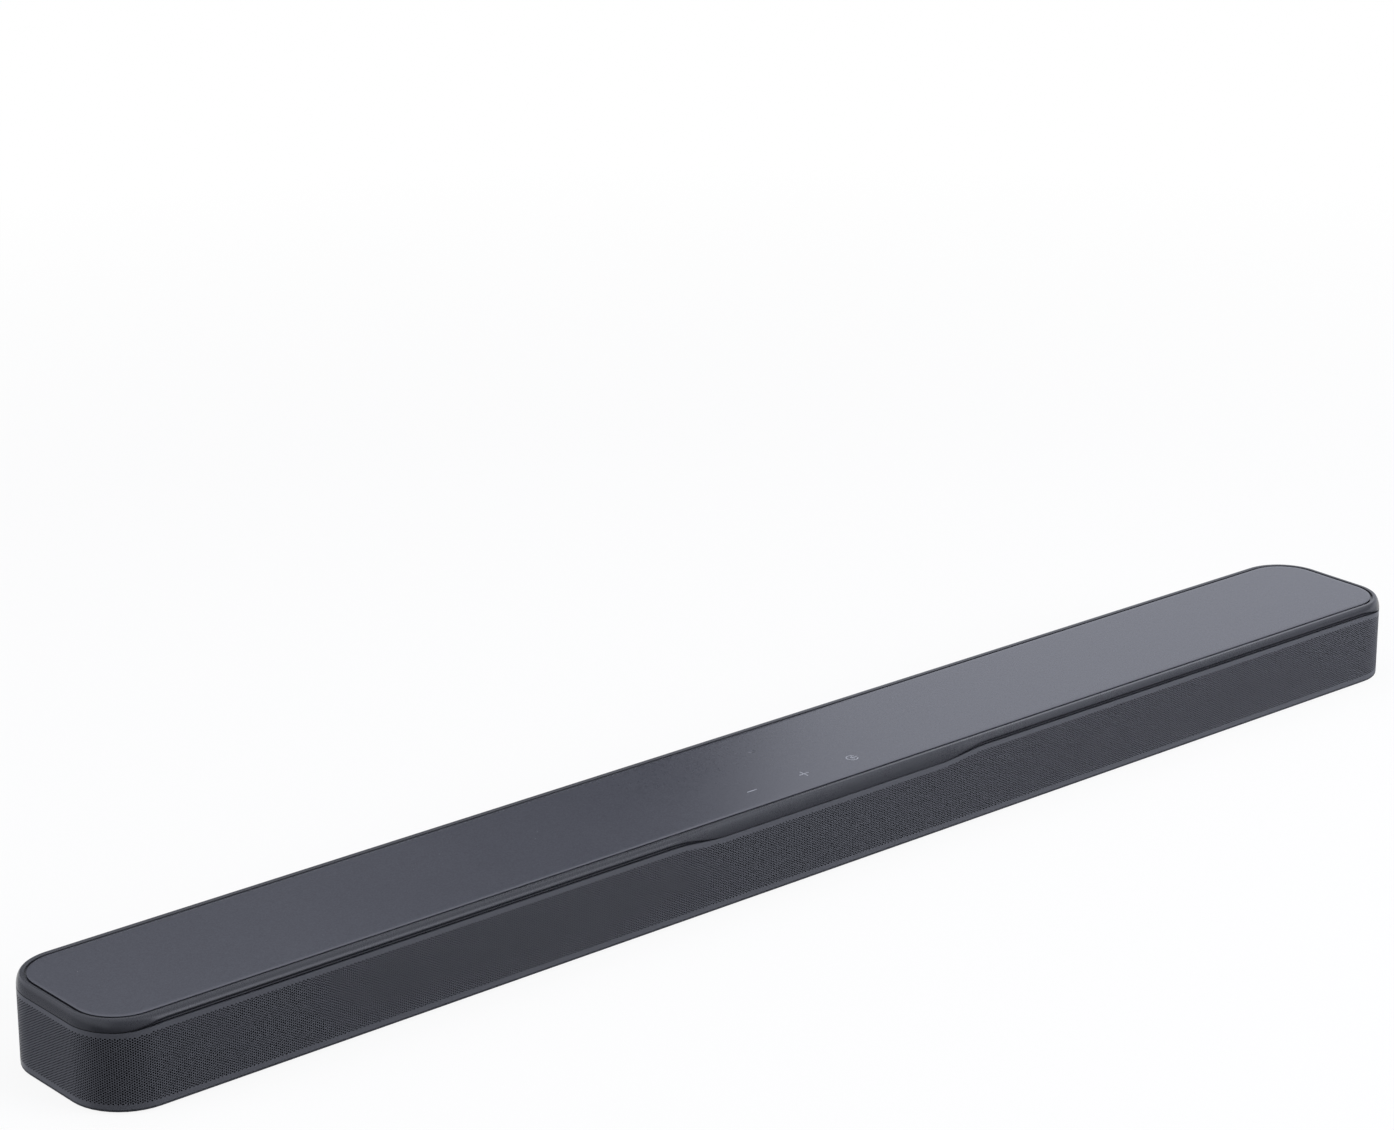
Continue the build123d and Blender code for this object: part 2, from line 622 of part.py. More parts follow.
def build_woofer_frame(x):
    """Flange, windowed basket and the back plate that carries the motor."""
    face = driver_plane(x)
    with BuildPart() as frame:
        with BuildSketch(face):
            RectangleRounded(FLANGE_LENGTH, FLANGE_HEIGHT, FLANGE_CORNER)
            SlotOverall(*BASKET_INNER, mode=Mode.SUBTRACT)
            with Locations(*WOOFER_SCREWS):
                Circle(DRIVER_SCREW_RADIUS + SCREW_FIT, mode=Mode.SUBTRACT)
        extrude(amount=FLANGE_WALL)
        with BuildSketch(face):
            SlotOverall(BASKET_LENGTH, BASKET_HEIGHT)
            SlotOverall(*BASKET_INNER, mode=Mode.SUBTRACT)
        extrude(amount=-BASKET_DEPTH)
        with BuildSketch(face.offset(BACK_PLATE)):
            SlotOverall(BASKET_LENGTH, BASKET_HEIGHT)
            Circle(CUP_BORE, mode=Mode.SUBTRACT)
        extrude(amount=-BASKET_WALL)
        with BuildSketch(face.offset(-BAFFLE_WALL)):
            with GridLocations(WINDOW_SPACING, 0, 2, 1):
                Rectangle(BASKET_WINDOW, BASKET_HEIGHT + OVERCUT)
        extrude(amount=BACK_PLATE + BAFFLE_WALL + BASKET_WALL, mode=Mode.SUBTRACT)
    return frame.part


def build_motor(x, back, pole_radius, bore, pole_depth, magnet_depth):
    """Steel cup, magnet and pole plate behind a frame, parted by glue lines."""
    face = driver_plane(x)
    floor = back - pole_depth - magnet_depth - 2 * GLUE_LINE
    with BuildPart() as motor:
        with BuildSketch(face.offset(back)):
            Circle(bore + CUP_WALL)
            Circle(bore, mode=Mode.SUBTRACT)
        extrude(amount=floor - back)
        with BuildSketch(face.offset(floor)):
            Circle(bore + CUP_WALL)
        extrude(amount=-CUP_FLOOR)
        with BuildSketch(face.offset(floor + GLUE_LINE)):
            Circle(pole_radius - POLE_STEP)
        extrude(amount=magnet_depth)
        with BuildSketch(face.offset(back - pole_depth)):
            Circle(pole_radius)
        extrude(amount=pole_depth)
    return motor.part


def build_woofer_cone(x):
    """Racetrack cone with its dust cap."""
    face = driver_plane(x)
    neck_inner = (NECK_INNER + NECK_STRETCH, NECK_INNER)
    neck_outer = tuple(size + 2 * CONE_WALL for size in neck_inner)
    rim_inner = tuple(size - 2 * CONE_WALL for size in CONE_RIM)
    with BuildPart() as cone:
        for neck, rim, mode in ((neck_outer, CONE_RIM, Mode.ADD), (neck_inner, rim_inner, Mode.SUBTRACT)):
            with BuildSketch(face.offset(NECK_DEPTH)):
                SlotOverall(*neck)
            with BuildSketch(face.offset(FLANGE_WALL)):
                SlotOverall(*rim)
            loft(mode=mode)
        with BuildSketch(profile_plane(x)):
            with BuildLine():
                foot = NECK_DEPTH + CONE_WALL
                crown = NECK_DEPTH + CAP_HEIGHT
                outer = cap_arc(NECK_INNER / 2 + CONE_WALL, foot, crown)
                inner = cap_arc(NECK_INNER / 2, foot, crown - CONE_WALL)
                Polyline(
                    outer @ 0,
                    (NECK_INNER / 2 + CONE_WALL, NECK_DEPTH),
                    (NECK_INNER / 2, NECK_DEPTH),
                    inner @ 0,
                )
                Line(outer @ 1, inner @ 1)
            make_face()
        revolve(axis=driver_axis(x))
    return cone.part


def build_woofer_coil(x):
    """Voice coil on its former, reaching from the cone's neck into the motor's gap."""
    with BuildPart() as coil:
        with BuildSketch(driver_plane(x).offset(COIL_TOP)):
            Circle(COIL_RADIUS)
            Circle(COIL_RADIUS - COIL_WALL, mode=Mode.SUBTRACT)
        extrude(amount=-COIL_LENGTH)
    return coil.part


def build_woofer_surround(x):
    """Half-round roll between the cone's rim and the frame."""
    face = driver_plane(x).offset(FLANGE_WALL)
    mid_height = BASKET_INNER[1] / 2 - ROLL_RADIUS
    straight = (BASKET_INNER[0] - BASKET_INNER[1]) / 2
    with BuildPart() as roll:
        with BuildLine(face) as path:
            Line((-straight, mid_height), (straight, mid_height))
            CenterArc((straight, 0), mid_height, 90, -180)
            Line((straight, -mid_height), (-straight, -mid_height))
            CenterArc((-straight, 0), mid_height, 270, -180)
        start = face.from_local_coords((-straight, mid_height))
        with BuildSketch(Plane(origin=start, x_dir=(0, 0, 1), z_dir=(1, 0, 0))):
            with BuildLine():
                outer = CenterArc((0, 0), ROLL_RADIUS, 180, 180)
                inner = CenterArc((0, 0), ROLL_RADIUS - ROLL_WALL, 180, 180)
                Line(outer @ 0, inner @ 0)
                Line(outer @ 1, inner @ 1)
            make_face()
        sweep(path=path.line)
    return roll.part


def build_woofer_spider(x):
    """Stepped disc that centres the coil, seated on the basket's back plate."""
    inside = COIL_RADIUS + COIL_GAP
    outside = BASKET_INNER[1] / 2 - COIL_GAP
    bend = (inside + outside - SPIDER_FOOT) / 2
    low = BACK_PLATE
    high = BACK_PLATE + SPIDER_RISE
    step = (low + high) / 2
    with BuildPart() as spider:
        with BuildSketch(profile_plane(x)):
            with BuildLine():
                Polyline(
                    (inside, high),
                    (bend - SPIDER_WALL, high),
                    (bend, step),
                    (outside - SPIDER_FOOT, low),
                    (outside, low),
                    (outside, low + SPIDER_WALL),
                    (outside - SPIDER_FOOT + SPIDER_WALL, low + SPIDER_WALL),
                    (bend + SPIDER_WALL, step + SPIDER_WALL),
                    (bend, high + SPIDER_WALL),
                    (inside, high + SPIDER_WALL),
                    close=True,
                )
            make_face()
        revolve(axis=driver_axis(x))
    return spider.part


for number, x in enumerate(WOOFER_X, start=1):
    keep(build_woofer_frame(x), f"woofer_frame_{number}")
    keep(
        build_motor(x, -BASKET_DEPTH, POLE_RADIUS, CUP_BORE, POLE_DEPTH, MAGNET_DEPTH),
        f"woofer_motor_{number}",
    )
    keep(build_woofer_cone(x), f"woofer_cone_{number}")
    keep(build_woofer_coil(x), f"woofer_coil_{number}")
    keep(build_woofer_surround(x), f"woofer_surround_{number}")
    keep(build_woofer_spider(x), f"woofer_spider_{number}")

# Tweeters: a plate with a short can behind it, the motor, and the dome with its coil
DOME_OPENING = DOME_RADIUS + DOME_EDGE + DOME_GAP
TWEETER_BORE = DOME_RADIUS + MOTOR_GAP
TWEETER_POLE = DOME_RADIUS - DOME_WALL - MOTOR_GAP


def build_tweeter_body(x):
    """Square plate and the can that carries the motor."""
    face = driver_plane(x)
    with BuildPart() as body:
        with BuildSketch(face):
            RectangleRounded(TWEETER_PLATE, TWEETER_PLATE, TWEETER_CORNER)
            Circle(DOME_OPENING, mode=Mode.SUBTRACT)
            with Locations(*TWEETER_SCREWS):
                Circle(DRIVER_SCREW_RADIUS + SCREW_FIT, mode=Mode.SUBTRACT)
        extrude(amount=TWEETER_PLATE_WALL)
        with BuildSketch(face):
            Circle(DOME_OPENING + TWEETER_CAN_WALL)
            Circle(DOME_OPENING, mode=Mode.SUBTRACT)
        extrude(amount=-TWEETER_CAN_DEPTH)
        with BuildSketch(face.offset(-TWEETER_CAN_DEPTH)):
            Circle(DOME_OPENING + TWEETER_CAN_WALL)
            Circle(TWEETER_BORE, mode=Mode.SUBTRACT)
        extrude(amount=TWEETER_CAN_WALL)
    return body.part


def build_tweeter_dome(x):
    """Thin dome with a flat edge, on its voice coil."""
    edge = DOME_RADIUS + DOME_EDGE
    inner_radius = DOME_RADIUS - DOME_WALL
    with BuildPart() as dome:
        with BuildSketch(profile_plane(x)):
            with BuildLine():
                outer = cap_arc(inner_radius, DOME_WALL, DOME_HEIGHT)
                inner = cap_arc(inner_radius, 0, DOME_HEIGHT - DOME_WALL)
                Polyline(
                    outer @ 0,
                    (edge, DOME_WALL),
                    (edge, 0),
                    (DOME_RADIUS, 0),
                    (DOME_RADIUS, -TWEETER_COIL_LENGTH),
                    (inner_radius, -TWEETER_COIL_LENGTH),
                    inner @ 0,
                )
                Line(outer @ 1, inner @ 1)
            make_face()
        revolve(axis=driver_axis(x))
    return dome.part


for number, x in enumerate(TWEETER_X, start=1):
    keep(build_tweeter_body(x), f"tweeter_body_{number}")
    keep(
        build_motor(
            x,
            -TWEETER_CAN_DEPTH,
            TWEETER_POLE,
            TWEETER_BORE,
            TWEETER_POLE_DEPTH,
            TWEETER_MAGNET_DEPTH,
        ),
        f"tweeter_motor_{number}",
    )
    keep(build_tweeter_dome(x), f"tweeter_dome_{number}")

# Display and infrared receiver, set in the baffle behind the grille
with BuildPart() as display_module:
    with BuildSketch(driver_plane(DISPLAY_X).offset(-BAFFLE_WALL)):
        Rectangle(DISPLAY_LENGTH, DISPLAY_HEIGHT)
    extrude(amount=BAFFLE_WALL + DISPLAY_STAND)
    with BuildSketch(driver_plane(DISPLAY_X).offset(-BAFFLE_WALL)):
        Rectangle(DISPLAY_LENGTH + 2 * DISPLAY_BOARD_MARGIN, DISPLAY_HEIGHT + 2 * DISPLAY_BOARD_MARGIN)
    extrude(amount=-BOARD_WALL)
keep(display_module.part, "display_module")

with BuildPart() as ir_receiver:
    with BuildSketch(driver_plane(RECEIVER_X).offset(-BAFFLE_WALL - BOARD_WALL)):
        Rectangle(RECEIVER_SIZE, RECEIVER_SIZE)
    extrude(amount=BAFFLE_WALL + BOARD_WALL)
    with BuildSketch(profile_plane(RECEIVER_X)):
        with BuildLine():
            dome = CenterArc((0, 0), RECEIVER_DOME, 0, 90)
            Polyline(dome @ 1, (0, 0), dome @ 0)
        make_face()
    revolve(axis=driver_axis(RECEIVER_X))
keep(ir_receiver.part, "ir_receiver")


# Circuit boards, each with its large components soldered on
def build_board(x, length, holes):
    """Bare board with its screw holes."""
    with BuildPart() as board:
        slab(spread(x, length), (BOARD_FRONT, BOARD_REAR), (BOARD_UNDER, BOARD_TOP))
        with BuildSketch(Plane.XY.offset(BOARD_UNDER)):
            with Locations(*holes):
                Circle(BOARD_SCREW_RADIUS + SCREW_FIT)
        extrude(amount=BOARD_WALL, mode=Mode.SUBTRACT)
    return board.part


SINK_Y = BOARD_FRONT + SINK_WIDTH / 2
CHIP_X = tuple(MAIN_BOARD_X + offset for offset in (-CHIP_SIZE, CHIP_SIZE))
with BuildPart() as main_board:
    add(build_board(MAIN_BOARD_X, MAIN_BOARD_LENGTH, MAIN_BOARD_HOLES))
    with BuildSketch(Plane.XY.offset(BOARD_TOP)):
        with Locations(*((x, SINK_Y) for x in CHIP_X)):
            Rectangle(CHIP_SIZE, CHIP_SIZE)
    extrude(amount=CHIP_WALL)
keep(main_board.part, "main_board")

with BuildPart() as heat_sink:
    with BuildSketch(Plane.XY.offset(BOARD_TOP + CHIP_WALL)):
        with Locations((MAIN_BOARD_X, SINK_Y)):
            Rectangle(SINK_LENGTH, SINK_WIDTH)
    extrude(amount=SINK_FLOOR)
    with BuildSketch(Plane.XY.offset(BOARD_TOP + CHIP_WALL)):
        with Locations((MAIN_BOARD_X, SINK_Y)):
            with GridLocations((SINK_LENGTH - SINK_FIN) / (SINK_FINS - 1), 0, SINK_FINS, 1):
                Rectangle(SINK_FIN, SINK_WIDTH)
    extrude(amount=SINK_HEIGHT)
keep(heat_sink.part, "heat_sink")

COMPONENT_Y = BOARD_FRONT + TRANSFORMER[1] / 2
TRANSFORMER_X = POWER_BOARD_X - POWER_BOARD_LENGTH / 2 + BOARD_HOLE_INSET * 2 + TRANSFORMER[0] / 2
CAPACITOR_X = POWER_BOARD_X + POWER_BOARD_LENGTH / 2 - CAPACITOR_SPACING * 2
with BuildPart() as power_board:
    add(build_board(POWER_BOARD_X, POWER_BOARD_LENGTH, POWER_BOARD_HOLES))
    with BuildSketch(Plane.XY.offset(BOARD_TOP)):
        with Locations((TRANSFORMER_X, COMPONENT_Y)):
            Rectangle(TRANSFORMER[0], TRANSFORMER[1])
    extrude(amount=TRANSFORMER[2])
    with BuildSketch(Plane.XY.offset(BOARD_TOP)):
        with Locations((CAPACITOR_X, COMPONENT_Y)):
            with GridLocations(CAPACITOR_SPACING, 0, CAPACITORS, 1):
                Circle(CAPACITOR_RADIUS)
    extrude(amount=CAPACITOR_HEIGHT)
keep(power_board.part, "power_board")

with BuildPart() as antennas:
    for side in (-1, 1):
        slab(
            spread(side * ANTENNA_X, ANTENNA_LENGTH),
            (PLATE_Y[0] - ANTENNA_WALL, PLATE_Y[0]),
            spread(DRIVER_Z, ANTENNA_HEIGHT),
        )
keep(antennas.part, "antennas")


# Connectors: open shells that stand on the main board, each with its contact tongue
def shell(x, mouth, wall, depth, middle):
    """Connector shell, open towards the rear."""
    slab(
        spread(x, mouth[0] + 2 * wall),
        (PORT_MOUTH_Y - depth, PORT_MOUTH_Y),
        spread(middle, mouth[1] + 2 * wall),
    )
    slab(
        spread(x, mouth[0]),
        (PORT_MOUTH_Y - depth + wall, PORT_MOUTH_Y),
        spread(middle, mouth[1]),
        mode=Mode.SUBTRACT,
    )


def tongue(x, size, depth, middle):
    """Contact tongue inside a shell."""
    slab(
        spread(x, size[0]),
        (PORT_MOUTH_Y - depth, PORT_MOUTH_Y - TONGUE_SETBACK),
        spread(middle, size[1]),
    )


with BuildPart() as hdmi_ports:
    for x in HDMI_X:
        shell(x, HDMI_MOUTH, HDMI_WALL, HDMI_DEPTH, HDMI_Z)
        tongue(x, HDMI_TONGUE, HDMI_DEPTH, HDMI_Z)
keep(hdmi_ports.part, "hdmi_ports")

with BuildPart() as usb_port:
    shell(USB_X, USB_MOUTH, USB_WALL, USB_DEPTH, USB_Z)
    tongue(USB_X, USB_TONGUE, USB_DEPTH, USB_Z + USB_MOUTH[1] / 2 - USB_TONGUE[1])
keep(usb_port.part, "usb_port")

with BuildPart() as optical_port:
    shell(OPTICAL_X, (OPTICAL_MOUTH, OPTICAL_MOUTH), OPTICAL_WALL, OPTICAL_DEPTH, OPTICAL_Z)
keep(optical_port.part, "optical_port")

with BuildPart() as power_inlet:
    with BuildSketch(Plane.XZ.offset(-BAY_FACE)):
        with Locations((POWER_BAY_X, INLET_Z)):
            RectangleRounded(*INLET_FLANGE, INLET_WALL)
    extrude(amount=-INLET_FLANGE_WALL)
    with BuildSketch(Plane.XZ.offset(-BAY_FACE)):
        with Locations((POWER_BAY_X, INLET_Z)):
            SlotOverall(INLET_MOUTH[0] + 2 * INLET_WALL, INLET_MOUTH[1] + 2 * INLET_WALL)
    extrude(amount=INLET_DEPTH)
    with BuildSketch(Plane.XZ.offset(-BAY_FACE - INLET_FLANGE_WALL)):
        with Locations((POWER_BAY_X, INLET_Z)):
            SlotOverall(*INLET_MOUTH)
    extrude(amount=INLET_FLANGE_WALL + INLET_DEPTH - INLET_FLOOR, mode=Mode.SUBTRACT)
    with BuildSketch(Plane.XZ.offset(-BAY_FACE)):
        with Locations((POWER_BAY_X, INLET_Z)):
            with GridLocations(INLET_PIN_SPACING, 0, 2, 1):
                Circle(INLET_PIN_RADIUS)
    extrude(amount=INLET_DEPTH - INLET_FLOOR)
keep(power_inlet.part, "power_inlet")


# Fasteners, one node for each kind
def build_screws(plane, places, head_radius, head_height, radius, length):
    """Screws with their heads standing on a plane and their shanks below it."""
    with BuildPart() as screws:
        with BuildSketch(plane):
            with Locations(*places):
                Circle(head_radius)
        extrude(amount=head_height)
        with BuildSketch(plane):
            with Locations(*places):
                Circle(radius)
        extrude(amount=-length)
    return screws.part


CASE_SEAT = Plane(origin=(0, 0, BODY_BOTTOM + CASE_SEAT_DEPTH), x_dir=(-1, 0, 0), z_dir=(0, 0, -1))
CASE_SCREW_SIZES = (CASE_HEAD_RADIUS, CASE_HEAD_HEIGHT, CASE_SCREW_RADIUS, CASE_SCREW_LENGTH)
keep(build_screws(CASE_SEAT, [(-x, y) for x, y in CASE_POSTS], *CASE_SCREW_SIZES), "case_screws")

DRIVER_SCREW_SIZES = (DRIVER_HEAD_RADIUS, DRIVER_HEAD_HEIGHT, DRIVER_SCREW_RADIUS, DRIVER_SCREW_LENGTH)
with BuildPart() as driver_screws:
    for x in WOOFER_X:
        add(build_screws(driver_plane(x).offset(FLANGE_WALL), WOOFER_SCREWS, *DRIVER_SCREW_SIZES))
    for x in TWEETER_X:
        add(build_screws(driver_plane(x).offset(TWEETER_PLATE_WALL), TWEETER_SCREWS, *DRIVER_SCREW_SIZES))
keep(driver_screws.part, "driver_screws")

BOARD_SCREW_SIZES = (BOARD_HEAD_RADIUS, BOARD_HEAD_HEIGHT, BOARD_SCREW_RADIUS, BOARD_SCREW_LENGTH)
keep(build_screws(Plane.XY.offset(BOARD_TOP), BOARD_HOLES, *BOARD_SCREW_SIZES), "board_screws")
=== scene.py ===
"""Dressed visual model of a soundbar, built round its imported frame.

Sizes are in millimetres until a mesh is made. X runs along the bar, the front faces -Y, and Z is
measured up from the surface that the bar stands on.
"""
import logging
import math
from dataclasses import dataclass
from enum import Enum
from typing import Any, Optional, Sequence, Union

import bmesh
import bpy
import numpy as np
from mathutils import Matrix, Vector


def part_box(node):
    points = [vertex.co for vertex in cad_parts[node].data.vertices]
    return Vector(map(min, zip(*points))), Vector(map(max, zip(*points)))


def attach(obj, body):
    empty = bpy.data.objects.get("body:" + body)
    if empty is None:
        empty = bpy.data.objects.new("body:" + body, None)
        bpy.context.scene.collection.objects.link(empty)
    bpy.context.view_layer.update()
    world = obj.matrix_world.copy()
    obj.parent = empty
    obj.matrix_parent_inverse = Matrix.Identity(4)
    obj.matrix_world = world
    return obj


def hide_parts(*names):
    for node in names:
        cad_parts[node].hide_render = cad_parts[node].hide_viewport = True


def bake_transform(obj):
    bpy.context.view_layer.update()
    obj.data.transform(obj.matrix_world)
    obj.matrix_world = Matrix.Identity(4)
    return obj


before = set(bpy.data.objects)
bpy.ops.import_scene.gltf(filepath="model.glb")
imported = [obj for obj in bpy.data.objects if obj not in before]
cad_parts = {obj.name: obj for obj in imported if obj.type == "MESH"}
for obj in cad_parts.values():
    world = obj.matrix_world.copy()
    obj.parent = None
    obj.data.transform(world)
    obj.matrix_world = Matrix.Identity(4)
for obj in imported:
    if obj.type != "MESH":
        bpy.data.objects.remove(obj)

LOG = logging.getLogger("soundbar")
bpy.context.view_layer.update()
MM = 0.001
WELD = 1e-6  # in metres: points nearer than this are one
BODY = "bar"

Colour = tuple[float, float, float]
Place = tuple[float, float, float]
Faces = list[Sequence[int]]
Shape = tuple[np.ndarray, Faces]


# Node trees


class Signal:
    """An output socket whose arithmetic adds Math nodes to its tree."""

    def __init__(self, sheet: "NodeSheet", socket: Optional[bpy.types.NodeSocket]) -> None:
        """Keeps the socket and the sheet that it belongs to."""
        self.sheet = sheet
        self.socket = socket

    def math(self, operation: str, *others: "Value") -> "Signal":
        """Adds one Math node that starts with this signal.

        Args:
            operation: name of the Math node's operation.
            others: the further inputs, as signals or numbers.

        Returns:
            The node's result.
        """
        sockets = {index: value for index, value in enumerate((self, *others))}
        return self.sheet.node("ShaderNodeMath", {"operation": operation}, sockets)

    def _turned(self, operation: str, other: float) -> "Signal":
        """A Math node with a number first and this signal second."""
        return self.sheet.node("ShaderNodeMath", {"operation": operation}, {0: other, 1: self})

    def __add__(self, other: "Value") -> "Signal":
        """Sum with another value."""
        return self.math("ADD", other)

    def __radd__(self, other: float) -> "Signal":
        """Sum with a number on the left."""
        return self._turned("ADD", other)

    def __sub__(self, other: "Value") -> "Signal":
        """Difference from another value."""
        return self.math("SUBTRACT", other)

    def __rsub__(self, other: float) -> "Signal":
        """Difference of a number and this signal."""
        return self._turned("SUBTRACT", other)

    def __mul__(self, other: "Value") -> "Signal":
        """Product with another value."""
        return self.math("MULTIPLY", other)

    def __rmul__(self, other: float) -> "Signal":
        """Product with a number on the left."""
        return self._turned("MULTIPLY", other)

    def __truediv__(self, other: "Value") -> "Signal":
        """Quotient by another value."""
        return self.math("DIVIDE", other)

    def __rtruediv__(self, other: float) -> "Signal":
        """Quotient of a number and this signal."""
        return self._turned("DIVIDE", other)


Value = Union[Signal, float, Colour]


class NodeSheet:
    """A node tree that is being filled."""

    def __init__(self, tree: bpy.types.NodeTree) -> None:
        """Keeps the tree."""
        self.tree = tree

    def node(
        self,
        kind: str,
        settings: Optional[dict[str, Any]] = None,
        sockets: Optional[dict[Union[str, int], Any]] = None,
        output: Union[str, int] = 0,
    ) -> Signal:
        """Adds a node, sets it up and feeds its sockets.

        Args:
            kind: the node's type name.
            settings: properties, set before the sockets.
            sockets: values, signals or lists of signals by input name or number.
            output: name or number of the output to return.

        Returns:
            The chosen output.
        """
        made = self.tree.nodes.new(kind)
        for name, value in (settings or {}).items():
            setattr(made, name, value)
        for key, value in (sockets or {}).items():
            for item in value if isinstance(value, list) else [value]:
                if isinstance(item, Signal):
                    self.tree.links.new(item.socket, made.inputs[key])
                else:
                    made.inputs[key].default_value = item
        return Signal(self, made.outputs[output]) if made.outputs else Signal(self, None)

    def outputs(self, signal: Signal, *names: str) -> list[Signal]:
        """Further outputs of the node that a signal comes from."""
        return [Signal(self, signal.socket.node.outputs[name]) for name in names]

    def xyz(self, vector: Signal) -> list[Signal]:
        """The three parts of a vector."""
        parts = self.node("ShaderNodeSeparateXYZ", sockets={0: vector})
        return self.outputs(parts, "X", "Y", "Z")

    def vector(self, x: Value = 0.0, y: Value = 0.0, z: Value = 0.0) -> Signal:
        """A vector made of three values."""
        return self.node("ShaderNodeCombineXYZ", sockets={"X": x, "Y": y, "Z": z})

    def mix_colour(self, factor: Value, first: Value, second: Value) -> Signal:
        """A colour between two others.

        Args:
            factor: 0 for the first colour, 1 for the second.
            first: colour as a signal or three numbers.
            second: colour as a signal or three numbers.

        Returns:
            The mixed colour.
        """
        pair = [c if isinstance(c, Signal) else (*c, 1.0) for c in (first, second)]
        return self.node(
            "ShaderNodeMix",
            {"data_type": "RGBA"},
            {0: factor, 6: pair[0], 7: pair[1]},
            output=2,
        )


def blank_material(name: str) -> tuple[bpy.types.Material, NodeSheet]:
    """Makes a material without nodes.

    Args:
        name: the material's name.

    Returns:
        The material, and the sheet to fill.
    """
    made = bpy.data.materials.new(name)
    made.use_nodes = True
    made.node_tree.nodes.clear()
    return made, NodeSheet(made.node_tree)


def geometry_tree(
    name: str, inputs: dict[str, str], output: str
) -> tuple[NodeSheet, dict[str, Signal]]:
    """Starts a Geometry Nodes tree.

    Args:
        name: the tree's name.
        inputs: kind of socket of each named input.
        output: name of the geometry that it gives.

    Returns:
        The sheet to fill, and its inputs by name.
    """
    tree = bpy.data.node_groups.new(name, "GeometryNodeTree")
    for label, kind in inputs.items():
        tree.interface.new_socket(label, in_out="INPUT", socket_type=f"NodeSocket{kind}")
    tree.interface.new_socket(output, in_out="OUTPUT", socket_type="NodeSocketGeometry")
    sheet = NodeSheet(tree)
    start = sheet.node("NodeGroupInput")
    return sheet, dict(zip(inputs, sheet.outputs(start, *inputs)))


# Finishes


def shade(colour: Colour, factor: float) -> Colour:
    """The colour times a factor."""
    return tuple(min(1.0, part * factor) for part in colour)


@dataclass(frozen=True)
class Finish:
    """A surface with a fine cloudy grain, as on moulded plastic or paint.

    The sizes of the grain, the relief and the broad patches are in millimetres. A gloss value says
    how far a pattern changes the roughness.
    """

    name: str
    colour: Colour
    roughness: float
    metallic: float = 0.0
    grain: float = 0.5
    mottle: float = 0.08
    relief: float = 0.004
    wear: float = 0.04
    coat: float = 0.0

    PATCH = 40.0
    GRAIN_GLOSS = 0.1
    COAT_ROUGHNESS = 0.2
    NOISE_DETAIL = 2.0
    NOISE_ROUGHNESS = 0.6

    def material(self) -> bpy.types.Material:
        """Builds the material, or returns it if it is already there.

        Returns:
            The material.
        """
        known = bpy.data.materials.get(self.name)
        if known:
            return known
        made, sheet = blank_material(self.name)
        sockets = {
            "Metallic": self.metallic,
            "Coat Weight": self.coat,
            "Coat Roughness": self.COAT_ROUGHNESS,
            **self.surface(sheet),
        }
        shader = sheet.node("ShaderNodeBsdfPrincipled", sockets=sockets)
        sheet.node("ShaderNodeOutputMaterial", sockets={"Surface": shader})
        made.diffuse_color = (*self.colour, 1.0)
        return made

    def place(self, sheet: NodeSheet) -> Signal:
        """Position on the piece, in metres."""
        return sheet.node("ShaderNodeTexCoord", output="Object")

    def scale(self, size: float) -> float:
        """Scale of a texture whose features have a size in millimetres."""
        return 1.0 / (size * MM)

    def noise(self, sheet: NodeSheet, where: Signal, size: float) -> Signal:
        """Noise from 0 to 1.

        Args:
            sheet: the material's tree.
            where: the position that it is read at.
            size: size of its features in millimetres.

        Returns:
            The noise.
        """
        return sheet.node(
            "ShaderNodeTexNoise",
            sockets={
                "Vector": where,
                "Scale": self.scale(size),
                "Detail": self.NOISE_DETAIL,
                "Roughness": self.NOISE_ROUGHNESS,
            },
        )

    def bump(self, sheet: NodeSheet, height: Signal, depth: float) -> Signal:
        """Normal that a relief of a depth in millimetres gives."""
        return sheet.node("ShaderNodeBump", sockets={"Height": height, "Distance": depth * MM})

    def tint(self, sheet: NodeSheet, level: Signal) -> Signal:
        """The finish's colour, made darker and lighter by a level from 0 to 1."""
        dark, light = (shade(self.colour, 1.0 + part * self.mottle) for part in (-1, 1))
        return sheet.mix_colour(level, dark, light)

    def surface(self, sheet: NodeSheet) -> dict[str, Signal]:
        """Feeds for the shader's sockets.

        Args:
            sheet: the material's tree.

        Returns:
            Signals by socket name.
        """
        where = self.place(sheet)
        fine = self.noise(sheet, where, self.grain)
        worn = (self.noise(sheet, where, self.PATCH) - 0.5) * self.wear * 2.0
        return {
            "Base Color": self.tint(sheet, fine),
            "Roughness": worn + (fine - 0.5) * self.GRAIN_GLOSS + self.roughness,
            "Normal": self.bump(sheet, fine, self.relief),
        }


